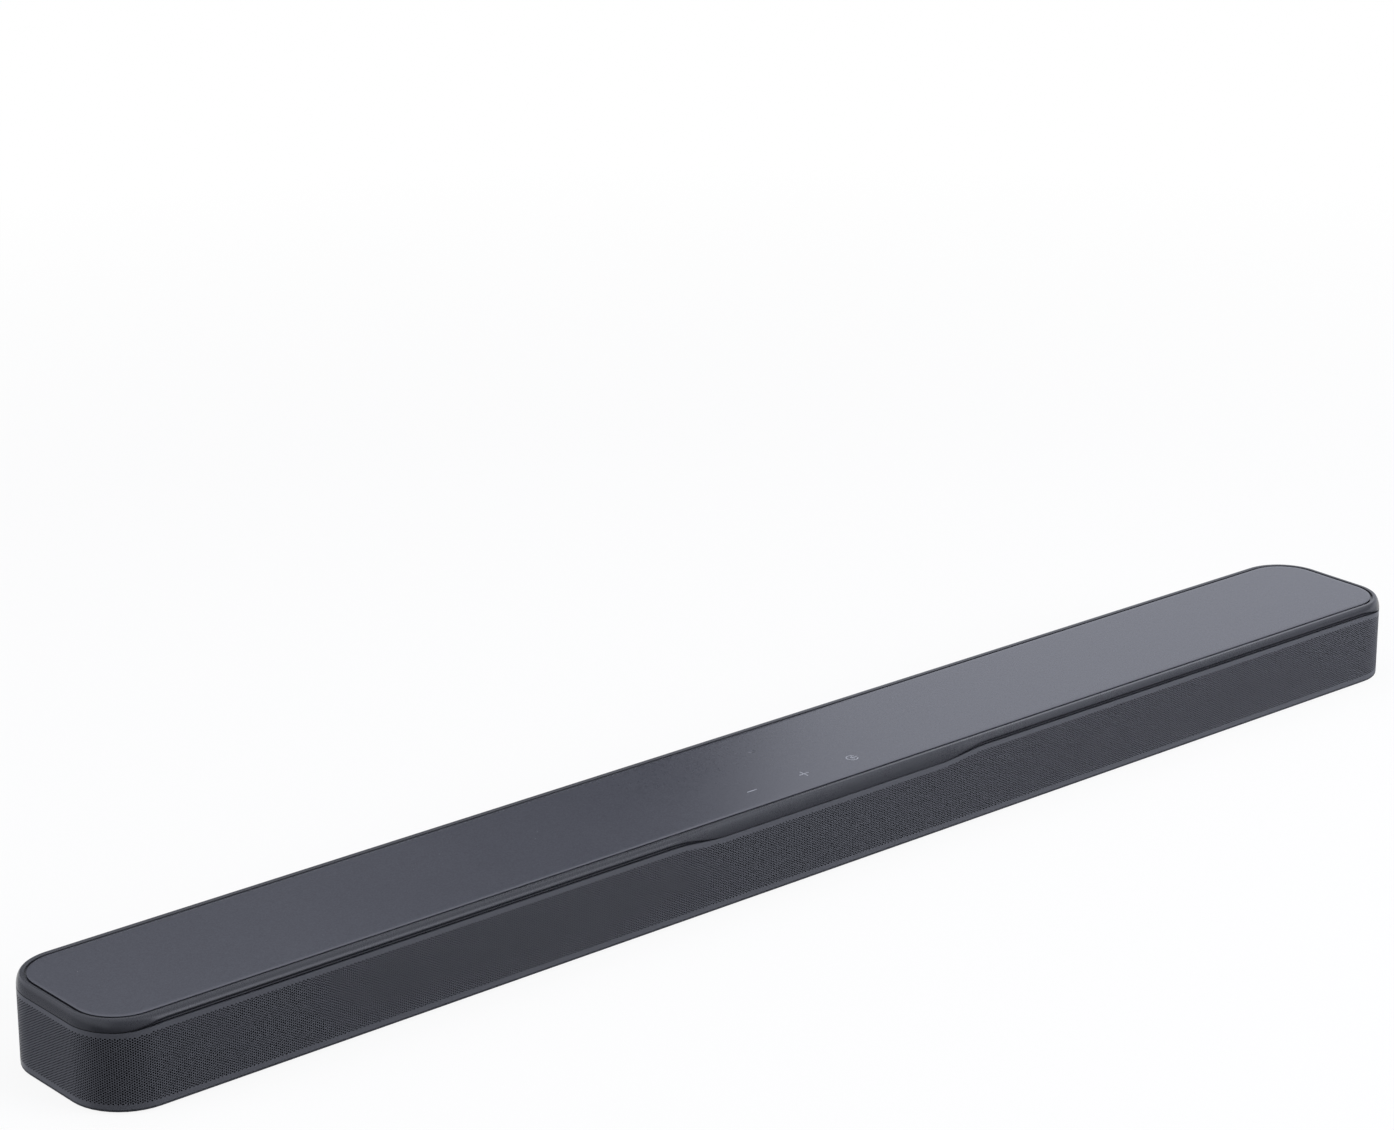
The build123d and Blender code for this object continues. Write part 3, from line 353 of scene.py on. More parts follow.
@dataclass(frozen=True)
class SpeckledFinish(Finish):
    """Satin plastic whose grain shows as fine light and dark specks."""

    PATCH = 60.0
    GRAIN_GLOSS = 0.12
    CLOUD_GRAINS = 4.0
    SPECK_SHARE = 0.7

    def surface(self, sheet: NodeSheet) -> dict[str, Signal]:
        """Feeds for the shader's sockets.

        Args:
            sheet: the material's tree.

        Returns:
            Signals by socket name.
        """
        where = self.place(sheet)
        cells = sheet.node(
            "ShaderNodeTexVoronoi",
            {"feature": "F1"},
            {"Vector": where, "Scale": self.scale(self.grain)},
            output="Color",
        )
        speck = sheet.xyz(cells)[0]
        cloud = self.noise(sheet, where, self.grain * self.CLOUD_GRAINS)
        level = speck * self.SPECK_SHARE + cloud * (1.0 - self.SPECK_SHARE)
        worn = (self.noise(sheet, where, self.PATCH) - 0.5) * self.wear
        return {
            "Base Color": self.tint(sheet, level),
            "Roughness": (level - 0.5) * self.GRAIN_GLOSS + worn + self.roughness,
            "Normal": self.bump(sheet, level, self.relief),
        }


class Brushing(Enum):
    """Which way the fine lines of a worked metal run, as the stretch of its grain."""

    ALONG_X = (0.02, 1.0, 1.0)
    ALONG_Y = (1.0, 0.02, 1.0)
    NONE = (1.0, 1.0, 1.0)


@dataclass(frozen=True)
class MetalFinish(Finish):
    """Bare or plated metal, with fine lines where it was worked."""

    brushing: Brushing = Brushing.NONE

    PATCH = 12.0
    GRAIN_GLOSS = 0.12
    PATCH_GLOSS = 0.16
    LINE_SHARE = 0.6

    def surface(self, sheet: NodeSheet) -> dict[str, Signal]:
        """Feeds for the shader's sockets.

        Args:
            sheet: the material's tree.

        Returns:
            Signals by socket name.
        """
        where = self.place(sheet)
        stretched = sheet.node(
            "ShaderNodeMapping", sockets={"Vector": where, "Scale": self.brushing.value}
        )
        lines = self.noise(sheet, stretched, self.grain)
        stains = self.noise(sheet, where, self.PATCH)
        level = lines * self.LINE_SHARE + stains * (1.0 - self.LINE_SHARE)
        worn = (stains - 0.5) * self.PATCH_GLOSS
        return {
            "Base Color": self.tint(sheet, level),
            "Roughness": worn + (lines - 0.5) * self.GRAIN_GLOSS + self.roughness,
            "Normal": self.bump(sheet, lines, self.relief),
        }


@dataclass(frozen=True)
class WovenFinish(Finish):
    """Plain weave of fine threads, read from the piece's own map or from its place."""

    mottle: float = 0.45
    thread: float = 0.35
    mapped: bool = False

    FUZZ_THREADS = 0.6
    RELIEF_THREADS = 0.4
    WEAVE_SHARE = 0.7

    def surface(self, sheet: NodeSheet) -> dict[str, Signal]:
        """Feeds for the shader's sockets.

        Args:
            sheet: the material's tree.

        Returns:
            Signals by socket name.
        """
        if self.mapped:
            across, along, _ = sheet.xyz(sheet.node("ShaderNodeUVMap", {"uv_map": "weave"}))
        else:
            across, _, along = sheet.xyz(self.place(sheet))
        turn = math.pi / (self.thread * MM)
        warp, weft = ((way * turn).math("SINE") for way in (across, along))
        height = warp * weft * 0.5 + 0.5
        fuzz = self.noise(sheet, self.place(sheet), self.thread * self.FUZZ_THREADS)
        level = height * self.WEAVE_SHARE + fuzz * (1.0 - self.WEAVE_SHARE)
        return {
            "Base Color": self.tint(sheet, level),
            "Roughness": fuzz * self.GRAIN_GLOSS + (self.roughness - self.GRAIN_GLOSS / 2),
            "Normal": self.bump(sheet, height, self.thread * self.RELIEF_THREADS),
        }


@dataclass(frozen=True)
class PulpFinish(Finish):
    """Pressed paper fibre."""

    mottle: float = 0.25
    relief: float = 0.05

    NOISE_DETAIL = 5.0
    CURL = 1.5

    def surface(self, sheet: NodeSheet) -> dict[str, Signal]:
        """Feeds for the shader's sockets.

        Args:
            sheet: the material's tree.

        Returns:
            Signals by socket name.
        """
        fibre = sheet.node(
            "ShaderNodeTexNoise",
            sockets={
                "Vector": self.place(sheet),
                "Scale": self.scale(self.grain),
                "Detail": self.NOISE_DETAIL,
                "Distortion": self.CURL,
            },
        )
        return {
            "Base Color": self.tint(sheet, fibre),
            "Roughness": fibre * self.GRAIN_GLOSS + (self.roughness - self.GRAIN_GLOSS / 2),
            "Normal": self.bump(sheet, fibre, self.relief),
        }


@dataclass(frozen=True)
class BoardFinish(Finish):
    """Circuit board with lacquer over copper tracks."""

    relief: float = 0.03

    TRACK_WIDTH = 0.08
    TRACK_LIGHT = 1.9
    GREYS = {"Color1": 0.0, "Color2": 0.25, "Mortar": 1.0}

    def surface(self, sheet: NodeSheet) -> dict[str, Signal]:
        """Feeds for the shader's sockets.

        Args:
            sheet: the material's tree.

        Returns:
            Signals by socket name.
        """
        tracks = sheet.node(
            "ShaderNodeTexBrick",
            sockets={
                "Vector": self.place(sheet),
                "Scale": self.scale(self.grain),
                "Mortar Size": self.TRACK_WIDTH,
                **{name: (grey, grey, grey, 1.0) for name, grey in self.GREYS.items()},
            },
        )
        level = sheet.xyz(tracks)[0]
        track = shade(self.colour, self.TRACK_LIGHT)
        return {
            "Base Color": sheet.mix_colour(level, self.colour, track),
            "Roughness": self.GRAIN_GLOSS * level + self.roughness,
            "Normal": self.bump(sheet, level, self.relief),
        }


@dataclass(frozen=True)
class SocketFinish(Finish):
    """Metal connector shell with dark contact blades, told apart by their height in the shell."""

    blade_height: float = 0.0
    blade_half: float = 1.0
    contact_pitch: float = 1.0

    BLADE = (0.012, 0.012, 0.013)
    CONTACT = (0.75, 0.55, 0.22)
    CONTACT_ABOVE = 0.3
    BLADE_GLOSS = 0.12

    def surface(self, sheet: NodeSheet) -> dict[str, Signal]:
        """Feeds for the shader's sockets.

        Args:
            sheet: the material's tree.

        Returns:
            Signals by socket name.
        """
        where = self.place(sheet)
        x, _, z = sheet.xyz(where)
        away = (z - self.blade_height * MM).math("ABSOLUTE")
        blade = away.math("LESS_THAN", self.blade_half * MM)
        wave = (x * (math.tau / (self.contact_pitch * MM))).math("SINE")
        contact = wave.math("GREATER_THAN", self.CONTACT_ABOVE) * blade
        fine = self.noise(sheet, where, self.grain)
        rough = blade * self.BLADE_GLOSS + (fine - 0.5) * self.GRAIN_GLOSS
        plastic = sheet.mix_colour(contact, self.BLADE, self.CONTACT)
        return {
            "Base Color": sheet.mix_colour(blade, self.tint(sheet, fine), plastic),
            "Metallic": 1.0 - blade + contact,
            "Roughness": rough + self.roughness,
            "Normal": self.bump(sheet, fine, self.relief),
        }


class Finishes:
    """Every finish on the bar."""

    PANEL = SpeckledFinish(
        "panel_satin", (0.056, 0.058, 0.071), 0.22, grain=0.55, mottle=0.12, relief=0.002
    )
    RIM = Finish("rim_satin", (0.024, 0.025, 0.030), 0.28, grain=0.35, mottle=0.06, relief=0.0015)
    MARKS = Finish("touch_marks", (0.34, 0.35, 0.38), 0.5, grain=0.2, mottle=0.06, relief=0.001)
    GRILLE = Finish(
        "grille_paint", (0.0855, 0.0875, 0.098), 0.42, grain=0.3, mottle=0.07, relief=0.003
    )
    CLOTH = WovenFinish("acoustic_cloth", (0.008, 0.008, 0.009), 0.95, thread=0.3, mapped=True)
    CASE = Finish("case_texture", (0.030, 0.031, 0.036), 0.55, grain=0.6, mottle=0.1, relief=0.02)
    FEET = Finish("foot_rubber", (0.016, 0.016, 0.017), 0.8, grain=0.8, mottle=0.14, relief=0.03)
    BAFFLE = Finish("inner_plastic", (0.02, 0.02, 0.022), 0.6, grain=0.8, relief=0.02)
    BASKET = Finish("coated_steel", (0.018, 0.018, 0.02), 0.45, metallic=0.2, relief=0.01)
    MOTOR = MetalFinish("plated_steel", (0.62, 0.60, 0.56), 0.34, metallic=1.0, grain=0.6)
    CONE = PulpFinish("cone_paper", (0.045, 0.044, 0.045), 0.85, grain=1.2)
    COIL = MetalFinish(
        "coil_winding", (0.72, 0.32, 0.12), 0.35, metallic=1.0, grain=0.2, relief=0.02,
        brushing=Brushing.ALONG_X,
    )
    SURROUND = Finish("roll_rubber", (0.014, 0.014, 0.015), 0.62, grain=0.7, relief=0.01)
    SPIDER = WovenFinish("spider_cloth", (0.32, 0.20, 0.08), 0.9, thread=0.6)
    TWEETER = Finish("tweeter_plate", (0.022, 0.022, 0.024), 0.42, relief=0.008)
    DOME = WovenFinish("dome_silk", (0.03, 0.03, 0.033), 0.6, thread=0.25)
    BOARD = BoardFinish("circuit_board", (0.012, 0.07, 0.03), 0.35, grain=4.0)
    SINK = MetalFinish(
        "drawn_aluminium", (0.78, 0.79, 0.80), 0.36, metallic=1.0, grain=0.4, relief=0.01,
        brushing=Brushing.ALONG_Y,
    )
    ANTENNA = MetalFinish("antenna_foil", (0.78, 0.60, 0.28), 0.3, metallic=1.0, grain=0.8)
    DISPLAY = Finish(
        "display_glass", (0.006, 0.006, 0.008), 0.08, grain=2.0, relief=0.0005, wear=0.01, coat=0.6
    )
    RECEIVER = Finish(
        "receiver_lens", (0.03, 0.006, 0.008), 0.12, grain=1.5, relief=0.001, coat=0.4
    )
    HDMI = SocketFinish(
        "hdmi_shell", (0.70, 0.70, 0.69), 0.3, metallic=1.0, relief=0.003,
        blade_height=13.4, blade_half=0.6,
    )
    USB = SocketFinish(
        "usb_shell", (0.70, 0.70, 0.69), 0.3, metallic=1.0, relief=0.003,
        blade_height=15.0, blade_half=1.0,
    )
    PORT = Finish("port_plastic", (0.014, 0.014, 0.015), 0.4, relief=0.006)
    BRASS = MetalFinish(
        "insert_brass", (0.78, 0.56, 0.25), 0.3, metallic=1.0, grain=0.4, relief=0.006
    )
    SCREW = MetalFinish("screw_black_zinc", (0.10, 0.10, 0.105), 0.34, metallic=1.0, grain=0.4)


# Shapes


def compass(turn: np.ndarray) -> np.ndarray:
    """Unit vectors in plan at angles in radians, one in each row."""
    return np.stack([np.cos(turn), np.sin(turn)], axis=1)


def circle(steps: int) -> np.ndarray:
    """Evenly spaced points of a circle with a radius of 1."""
    return compass(np.linspace(0.0, math.tau, steps, endpoint=False))


@dataclass(frozen=True)
class Stations:
    """Places round a rounded rectangle: its leg, from 0 to 7, and how far along that leg.

    The legs run anticlockwise seen from above, from the rear left corner. Even legs are corners.
    """

    leg: np.ndarray
    along: np.ndarray

    @classmethod
    def closed(cls, corner: int, end: int, front: int, rear: int) -> "Stations":
        """Evenly spaced places on each leg.

        Args:
            corner: steps on each corner.
            end: steps on each end.
            front: steps along the front.
            rear: steps along the rear.

        Returns:
            The places, with no place repeated.
        """
        counts = (corner, end, corner, front, corner, end, corner, rear)
        leg = np.concatenate([np.full(count, number) for number, count in enumerate(counts)])
        along = np.concatenate([np.arange(count) / count for count in counts])
        return cls(leg, along)


@dataclass(frozen=True)
class Plan:
    """A rounded rectangle seen from above."""

    length: float
    depth: float
    radius: float

    SIGNS = np.array([(-1, 1), (-1, -1), (1, -1), (1, 1)])
    LAST = 7

    def drawn_in(self, end: float, side: float) -> "Plan":
        """The plan with its ends and sides moved in."""
        return Plan(self.length - 2 * end, self.depth - 2 * side, self.radius - side)

    def legs(self) -> list[float]:
        """Length of each leg."""
        corner = math.pi * self.radius / 2
        end, side = self.depth - 2 * self.radius, self.length - 2 * self.radius
        return [corner, end, corner, side, corner, end, corner, side]

    def ring(self, places: Stations, inset: Union[float, np.ndarray] = 0.0) -> np.ndarray:
        """Points at the given places.

        Args:
            places: where on the plan.
            inset: distance in from the outline, one for all or one for each place.

        Returns:
            Array of x and y.
        """
        half = np.array([self.length / 2 - self.radius, self.depth / 2 - self.radius])
        corner = places.leg // 2
        following = (corner + 1) % 4
        quarters = corner + 1 + np.where(places.leg % 2, 1.0, places.along)
        normal = compass(quarters * math.pi / 2)
        run = np.where(places.leg % 2, places.along, 0.0)[:, None]
        centre = half * (self.SIGNS[corner] * (1 - run) + self.SIGNS[following] * run)
        return centre + normal * (self.radius - np.broadcast_to(inset, corner.shape))[:, None]

    def open_run(self, lengths: np.ndarray, start: float) -> Stations:
        """Places at distances along the outline.

        Args:
            lengths: distances from the start.
            start: how far before the rear left corner the run starts, on the rear.

        Returns:
            The places.
        """
        legs = np.array(self.legs())
        ends = np.concatenate([[-start, 0.0], np.cumsum(legs)])
        target = lengths - start
        slot = np.searchsorted(ends, target, side="right") - 1
        slot = np.clip(slot, 0, self.LAST + 1)
        leg = np.where(slot == 0, self.LAST, slot - 1)
        on_rear = 1.0 + target / legs[self.LAST]
        along = np.where(slot == 0, on_rear, (target - ends[slot]) / legs[leg])
        return Stations(leg, along)


def eased(value: np.ndarray) -> np.ndarray:
    """Smooth step from 0 to 1 with flat ends."""
    t = np.clip(value, 0.0, 1.0)
    return t * t * t * (t * (6.0 * t - 15.0) + 10.0)


@dataclass(frozen=True)
class EdgeLine:
    """Height of an edge round the bar: at the ends and rear, along the front, and in the lip."""

    ends: float
    front: float
    lip: float
    half_length: float = 470.0
    corner_start: float = 8.0
    corner_ramp: float = 30.0
    half_lip: float = 76.0
    lip_ramp: float = 43.0

    def height(self, points: np.ndarray) -> np.ndarray:
        """Height of the edge above the given points.

        Args:
            points: x and y of the places.

        Returns:
            One height for each.
        """
        reach = np.abs(points[:, 0])
        rise = eased((self.half_length - self.corner_start - reach) / self.corner_ramp)
        dip = eased((self.half_lip + self.lip_ramp - reach) / self.lip_ramp)
        front = self.ends + (self.front - self.ends) * rise + (self.lip - self.front) * dip
        return np.where(points[:, 1] < 0, front, self.ends)


@dataclass(frozen=True)
class BarForm:
    """Sizes that the outer pieces share."""

    plan: Plan = Plan(940.0, 100.0, 30.5)
    top: float = 49.5
    panel_thickness: float = 1.2
    rim_width: float = 5.6
    rim_end_width: float = 3.7
    groove: float = 1.4
    rim_line: EdgeLine = EdgeLine(43.2, 46.7, 42.3)
    grille_line: EdgeLine = EdgeLine(42.85, 44.5, 41.95)
    grille_foot: float = 2.6
    grille_wall: float = 0.8
    grille_return: float = 9.5

    @property
    def recess(self) -> Plan:
        """Opening inside the rim."""
        return self.plan.drawn_in(self.rim_end_width, self.rim_width)

    @property
    def panel(self) -> Plan:
        """Outline of the top panel."""
        return self.recess.drawn_in(self.groove, self.groove)

    @property
    def run_length(self) -> float:
        """Length of the grille from one rear edge to the other."""
        legs = self.plan.legs()
        return sum(legs[: Plan.LAST]) + 2 * self.grille_return


def lifted(flat: np.ndarray, height: Union[float, np.ndarray]) -> np.ndarray:
    """Points in plan with a height, as x, y and z."""
    return np.column_stack([flat, np.broadcast_to(height, len(flat))])


def skin(rings: Sequence[np.ndarray]) -> Shape:
    """Surface through closed rings, each with as many points as the next, filled at both ends.

    Args:
        rings: the rings, from the top inner one outwards and down.

    Returns:
        Points and faces.
    """
    count = len(rings[0])
    here = np.arange(count)
    after = np.roll(here, -1)
    faces: Faces = []
    for number in range(len(rings) - 1):
        low, high = number * count, (number + 1) * count
        faces += np.column_stack([low + here, high + here, high + after, low + after]).tolist()
    faces.append(here.tolist())
    faces.append(((len(rings) - 1) * count + here[::-1]).tolist())
    return np.concatenate(rings), faces


def together(parts: Sequence[Shape]) -> Shape:
    """Makes several shapes one.

    Args:
        parts: points and faces of each.

    Returns:
        Points and faces.
    """
    faces: Faces = []
    base = 0
    for points, part_faces in parts:
        faces += [[index + base for index in face] for face in part_faces]
        base += len(points)
    return np.concatenate([points for points, _ in parts]), faces


def make_mesh(name: str, points: np.ndarray, faces: Faces, keen: float = 32.0) -> bpy.types.Mesh:
    """A smooth-shaded mesh with sharp edges kept.

    Args:
        name: the mesh's name.
        points: x, y and z in millimetres.
        faces: point numbers of each face.
        keen: angle in degrees past which an edge stays sharp.

    Returns:
        The mesh, in metres.
    """
    mesh = bpy.data.meshes.new(name)
    mesh.from_pydata((np.asarray(points) * MM).tolist(), [], faces)
    mesh.validate()
    smooth(mesh, keen)
    return mesh


def smooth(mesh: bpy.types.Mesh, keen: float) -> None:
    """Shades a mesh smooth, with edges past an angle in degrees kept sharp."""
    mesh.shade_smooth()
    mesh.set_sharp_from_angle(angle=math.radians(keen))


def add_object(name: str, data: bpy.types.ID) -> bpy.types.Object:
    """Puts a new object into the scene."""
    made = bpy.data.objects.new(name, data)
    bpy.context.scene.collection.objects.link(made)
    return made


def discard(*helpers: bpy.types.Object) -> None:
    """Deletes helper objects."""
    for helper in helpers:
        bpy.data.objects.remove(helper, do_unlink=True)


def solid_of(piece: bpy.types.Object) -> bpy.types.Mesh:
    """Plain mesh of an object with its modifiers applied."""
    seen = bpy.context.evaluated_depsgraph_get()
    return bpy.data.meshes.new_from_object(piece.evaluated_get(seen))


def welded(source: bpy.types.Mesh) -> bmesh.types.BMesh:
    """Copies a mesh to work on, with points that touch made one.

    Args:
        source: the mesh that is copied.

    Returns:
        The copy.
    """
    work = bmesh.new()
    work.from_mesh(source)
    bmesh.ops.remove_doubles(work, verts=work.verts, dist=WELD)
    return work


def mesh_of(name: str, work: bmesh.types.BMesh) -> bpy.types.Mesh:
    """Makes a mesh of a worked shape, which is then freed.

    Args:
        name: the mesh's name.
        work: the shape.

    Returns:
        The mesh.
    """
    mesh = bpy.data.meshes.new(name)
    work.to_mesh(mesh)
    work.free()
    return mesh


def cut_out(body: bpy.types.Mesh, tool: bpy.types.Mesh, crossing: bool = False) -> bpy.types.Mesh:
    """Cuts one mesh out of another.

    Args:
        body: what is cut.
        tool: what is cut away.
        crossing: whether parts of the tool cross each other.

    Returns:
        The cut mesh.
    """
    helpers = add_object("cut_body", body), add_object("cut_tool", tool)
    cut = helpers[0].modifiers.new("cut", "BOOLEAN")
    cut.object, cut.operation, cut.solver = helpers[1], "DIFFERENCE", "EXACT"
    cut.use_self = crossing
    mesh = solid_of(helpers[0])
    discard(*helpers)
    return mesh


def grown(
    name: str, mesh: bpy.types.Mesh, tree: bpy.types.NodeTree, values: dict[str, Any]
) -> bpy.types.Mesh:
    """Runs a mesh through a Geometry Nodes tree.

    Args:
        name: name of the mesh that is made.
        mesh: what the tree starts from.
        tree: the tree.
        values: what its named inputs are set to.

    Returns:
        The mesh that the tree gives.
    """
    host = add_object(f"{name}_work", mesh)
    layer = host.modifiers.new("nodes", "NODES")
    layer.node_group = tree
    for socket in tree.interface.items_tree:
        if socket.in_out == "INPUT" and socket.name in values:
            layer[socket.identifier] = values[socket.name]
    made = solid_of(host)
    discard(host)
    made.name = name
    return made


def finish_piece(
    piece: bpy.types.Object, finish: Finish, replaced: Sequence[str] = ()
) -> bpy.types.Object:
    """Gives a piece its finish and hides the nodes of the frame that it stands for.

    Args:
        piece: the piece.
        finish: its finish.
        replaced: nodes of the frame that it stands for.

    Returns:
        The piece.
    """
    piece.data.materials.clear()
    piece.data.materials.append(finish.material())
    if replaced:
        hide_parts(*replaced)
    LOG.info("%s: %d faces", piece.name, len(piece.data.polygons))
    return piece


def place_mesh(
    mesh: bpy.types.Mesh, name: str, finish: Finish, replaced: Sequence[str] = ()
) -> bpy.types.Object:
    """Makes a finished piece of a mesh that is already in place.

    Args:
        mesh: the piece's mesh, in metres.
        name: the piece's name.
        finish: its finish.
        replaced: nodes of the frame that it stands for.

    Returns:
        The piece.
    """
    piece = add_object(name, mesh)
    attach(piece, BODY)
    return finish_piece(piece, finish, replaced)


@dataclass
class TopCover:
    """Moulded rim with the lip, the undercut beside it, and the deck under the panel."""

    form: BarForm
    edge_round: float = 0.2
    shoulder: float = 0.32
    shoulder_lean: tuple[float, float] = (9.0, 2.0)
    crest_round: float = 1.2
    swell: float = 0.6
    lower_round: float = 0.45
    scoop_depth: float = 2.2
    shut_step: float = 0.4
    skirt_wall: float = 1.6
    skirt_lap: float = 1.5
    deck_thickness: float = 2.0
    narrow_gap: float = 0.35
    wide_gap: float = 2.4
    ledge_gap: float = 0.5
    least_gap: float = 0.02
    settling_rounds: int = 8
    post_radius: float = 4.0
    post_bore: float = 1.55
    post_foot: float = 8.9
    post_lap: float = 0.5
    post_sides: int = 24
    bore_depth: float = 16.0
    keen: float = 40.0

    EDGE_STEPS, SHOULDER_STEPS, CREST_STEPS, SLOPE_STEPS, LOWER_STEPS = 5, 6, 9, 15, 9

    # Distance in from the outline and share of the way down, for each ring of the undercut.
    SCOOP = (
        (0.9, 0.02), (1.3, 0.06), (1.6, 0.13), (1.7, 0.25), (1.6, 0.37), (1.1, 0.44), (0.6, 0.475),
        (0.3, 0.52), (0.18, 0.60), (0.24, 0.74), (0.4, 0.92), (0.55, 0.975), (0.8, 1.0), (2.2, 1.0),
    )

    @property
    def deck_top(self) -> float:
        """Height of the deck that the panel lies on."""
        return self.form.top - self.form.panel_thickness

    def rim_rings(self, places: Stations) -> list[np.ndarray]:
        """Rings from the deck, up the groove, over the crest and down to the rim's lower edge.

        Args:
            places: where on the plan.

        Returns:
            The rings.
        """
        form = self.form
        outer, recess = form.plan.ring(places), form.recess.ring(places)
        low = form.rim_line.height(outer)
        width = np.linalg.norm(outer - recess, axis=1)
        outward = (outer - recess) / width[:, None]

        def ring(away: Union[float, np.ndarray], lift: Union[float, np.ndarray]) -> np.ndarray:
            """Ring at a distance out from the recess and a height."""
            return lifted(recess + outward * np.broadcast_to(away, width.shape)[:, None], lift)

        edge, crest, lower = self.edge_round, self.crest_round, self.lower_round
        straight, turned = 1 - self.swell, self.swell * math.pi / 2
        steep, level = (math.radians(lean) for lean in self.shoulder_lean)
        bow = self.shoulder * width / (steep - level)
        shoulder_start = edge * (1 - math.sin(steep))
        shoulder_end = shoulder_start + bow * (math.sin(steep) - math.sin(level))
        crest_middle = shoulder_end + crest * math.sin(level)
        shoulder_top = form.top - crest * (1 - math.cos(level))
        shoulder_foot = shoulder_top - bow * (math.cos(level) - math.cos(steep))
        edge_middle = shoulder_foot - edge * math.cos(steep)
        first, last = np.zeros_like(width), np.full_like(width, math.pi / 4)
        for _ in range(self.settling_rounds):
            begin = crest_middle + crest * np.sin(first)
            crown = form.top - crest * (1 - np.cos(first))
            reach = width - lower * (1 - np.sin(last)) - begin
            fall = crown - low - lower * (1 + np.cos(last))
            first = np.arctan2(straight * fall, (straight + turned) * reach)
            last = np.arctan2((straight + turned) * fall, straight * reach)
        rings = [ring(0.0, self.deck_top)]
        for angle in np.linspace(-math.pi / 2, -steep, self.EDGE_STEPS):
            away = edge * (1 + math.sin(angle))
            rings.append(ring(away, edge_middle + edge * math.cos(angle)))
        for angle in np.linspace(steep, level, self.SHOULDER_STEPS)[1:]:
            away = shoulder_start + bow * (math.sin(steep) - math.sin(angle))
            rings.append(ring(away, shoulder_foot + bow * (math.cos(angle) - math.cos(steep))))
        for step in np.linspace(0.0, 1.0, self.CREST_STEPS)[1:]:
            angle = (first + level) * step - level
            away = crest_middle + crest * np.sin(angle)
            rings.append(ring(away, form.top - crest * (1 - np.cos(angle))))
        for step in np.linspace(0.0, 1.0, self.SLOPE_STEPS)[1:-1]:
            bend = step * math.pi / 2
            away = straight * step + self.swell * math.sin(bend)
            drop = straight * step + self.swell * (1 - math.cos(bend))
            rings.append(ring(begin + reach * away, crown - fall * drop))
        for step in np.linspace(0.0, 1.0, self.LOWER_STEPS):
            angle = last + (math.pi - last) * step
            away = width - lower * (1 - np.sin(angle))
            rings.append(ring(away, low + lower * (1 + np.cos(angle))))
        return rings

    def scoop_rings(self, places: Stations) -> list[np.ndarray]:
        """Rings from the rim's lower edge in through the undercut and out over its ledge.

        Args:
            places: where on the plan.

        Returns:
            The rings.
        """
        form = self.form
        outer = form.plan.ring(places)
        low, sheet = form.rim_line.height(outer), form.grille_line.height(outer)
        weight = (low - sheet - self.narrow_gap) / (self.wide_gap - self.narrow_gap)
        weight = np.clip(weight, 0.0, 1.0)
        gap = np.maximum(low - sheet - self.ledge_gap, self.least_gap)
        rings = []
        for number, (inset, drop) in enumerate(self.SCOOP, start=1):
            shut = min(self.scoop_depth, self.lower_round + number * self.shut_step)
            along = inset * weight + shut * (1 - weight)
            rings.append(lifted(form.plan.ring(places, along), low - gap * drop))
        return rings

    def skirt_rings(self, places: Stations) -> list[np.ndarray]:
        """Rings from the undercut down behind the grille and up to the underside of the deck.

        Args:
            places: where on the plan.

        Returns:
            The rings.
        """
        plan = self.form.plan
        foot = self.form.grille_line.height(plan.ring(places)) - self.skirt_lap
        front = plan.ring(places, self.scoop_depth)
        back = plan.ring(places, self.scoop_depth + self.skirt_wall)
        under = self.deck_top - self.deck_thickness
        return [lifted(front, foot), lifted(back, foot), lifted(back, under)]

    def post(self, spot: tuple[float, float]) -> Shape:
        """Hollow screw post under the deck.

        Args:
            spot: x and y of its middle.

        Returns:
            Points and faces.
        """
        outer, inner = (
            circle(self.post_sides) * radius + spot for radius in (self.post_radius, self.post_bore)
        )
        head = self.deck_top - self.deck_thickness + self.post_lap
        levels = (
            (outer, head), (outer, self.post_foot),
            (inner, self.post_foot), (inner, self.post_foot + self.bore_depth),
        )
        return skin([lifted(outline, height) for outline, height in levels])

    def build(self, spots: Sequence[tuple[float, float]]) -> bpy.types.Object:
        """Builds the cover.

        Args:
            spots: x and y of the screw posts.

        Returns:
            The piece.
        """
        places = Stations.closed(corner=28, end=10, front=260, rear=40)
        shell = skin(
            [*self.rim_rings(places), *self.scoop_rings(places), *self.skirt_rings(places)]
        )
        points, faces = together([shell, *(self.post(spot) for spot in spots)])
        mesh = make_mesh("top_cover_moulding", points, faces, self.keen)
        return place_mesh(mesh, "top_cover_moulding", Finishes.RIM, ["top_cover"])


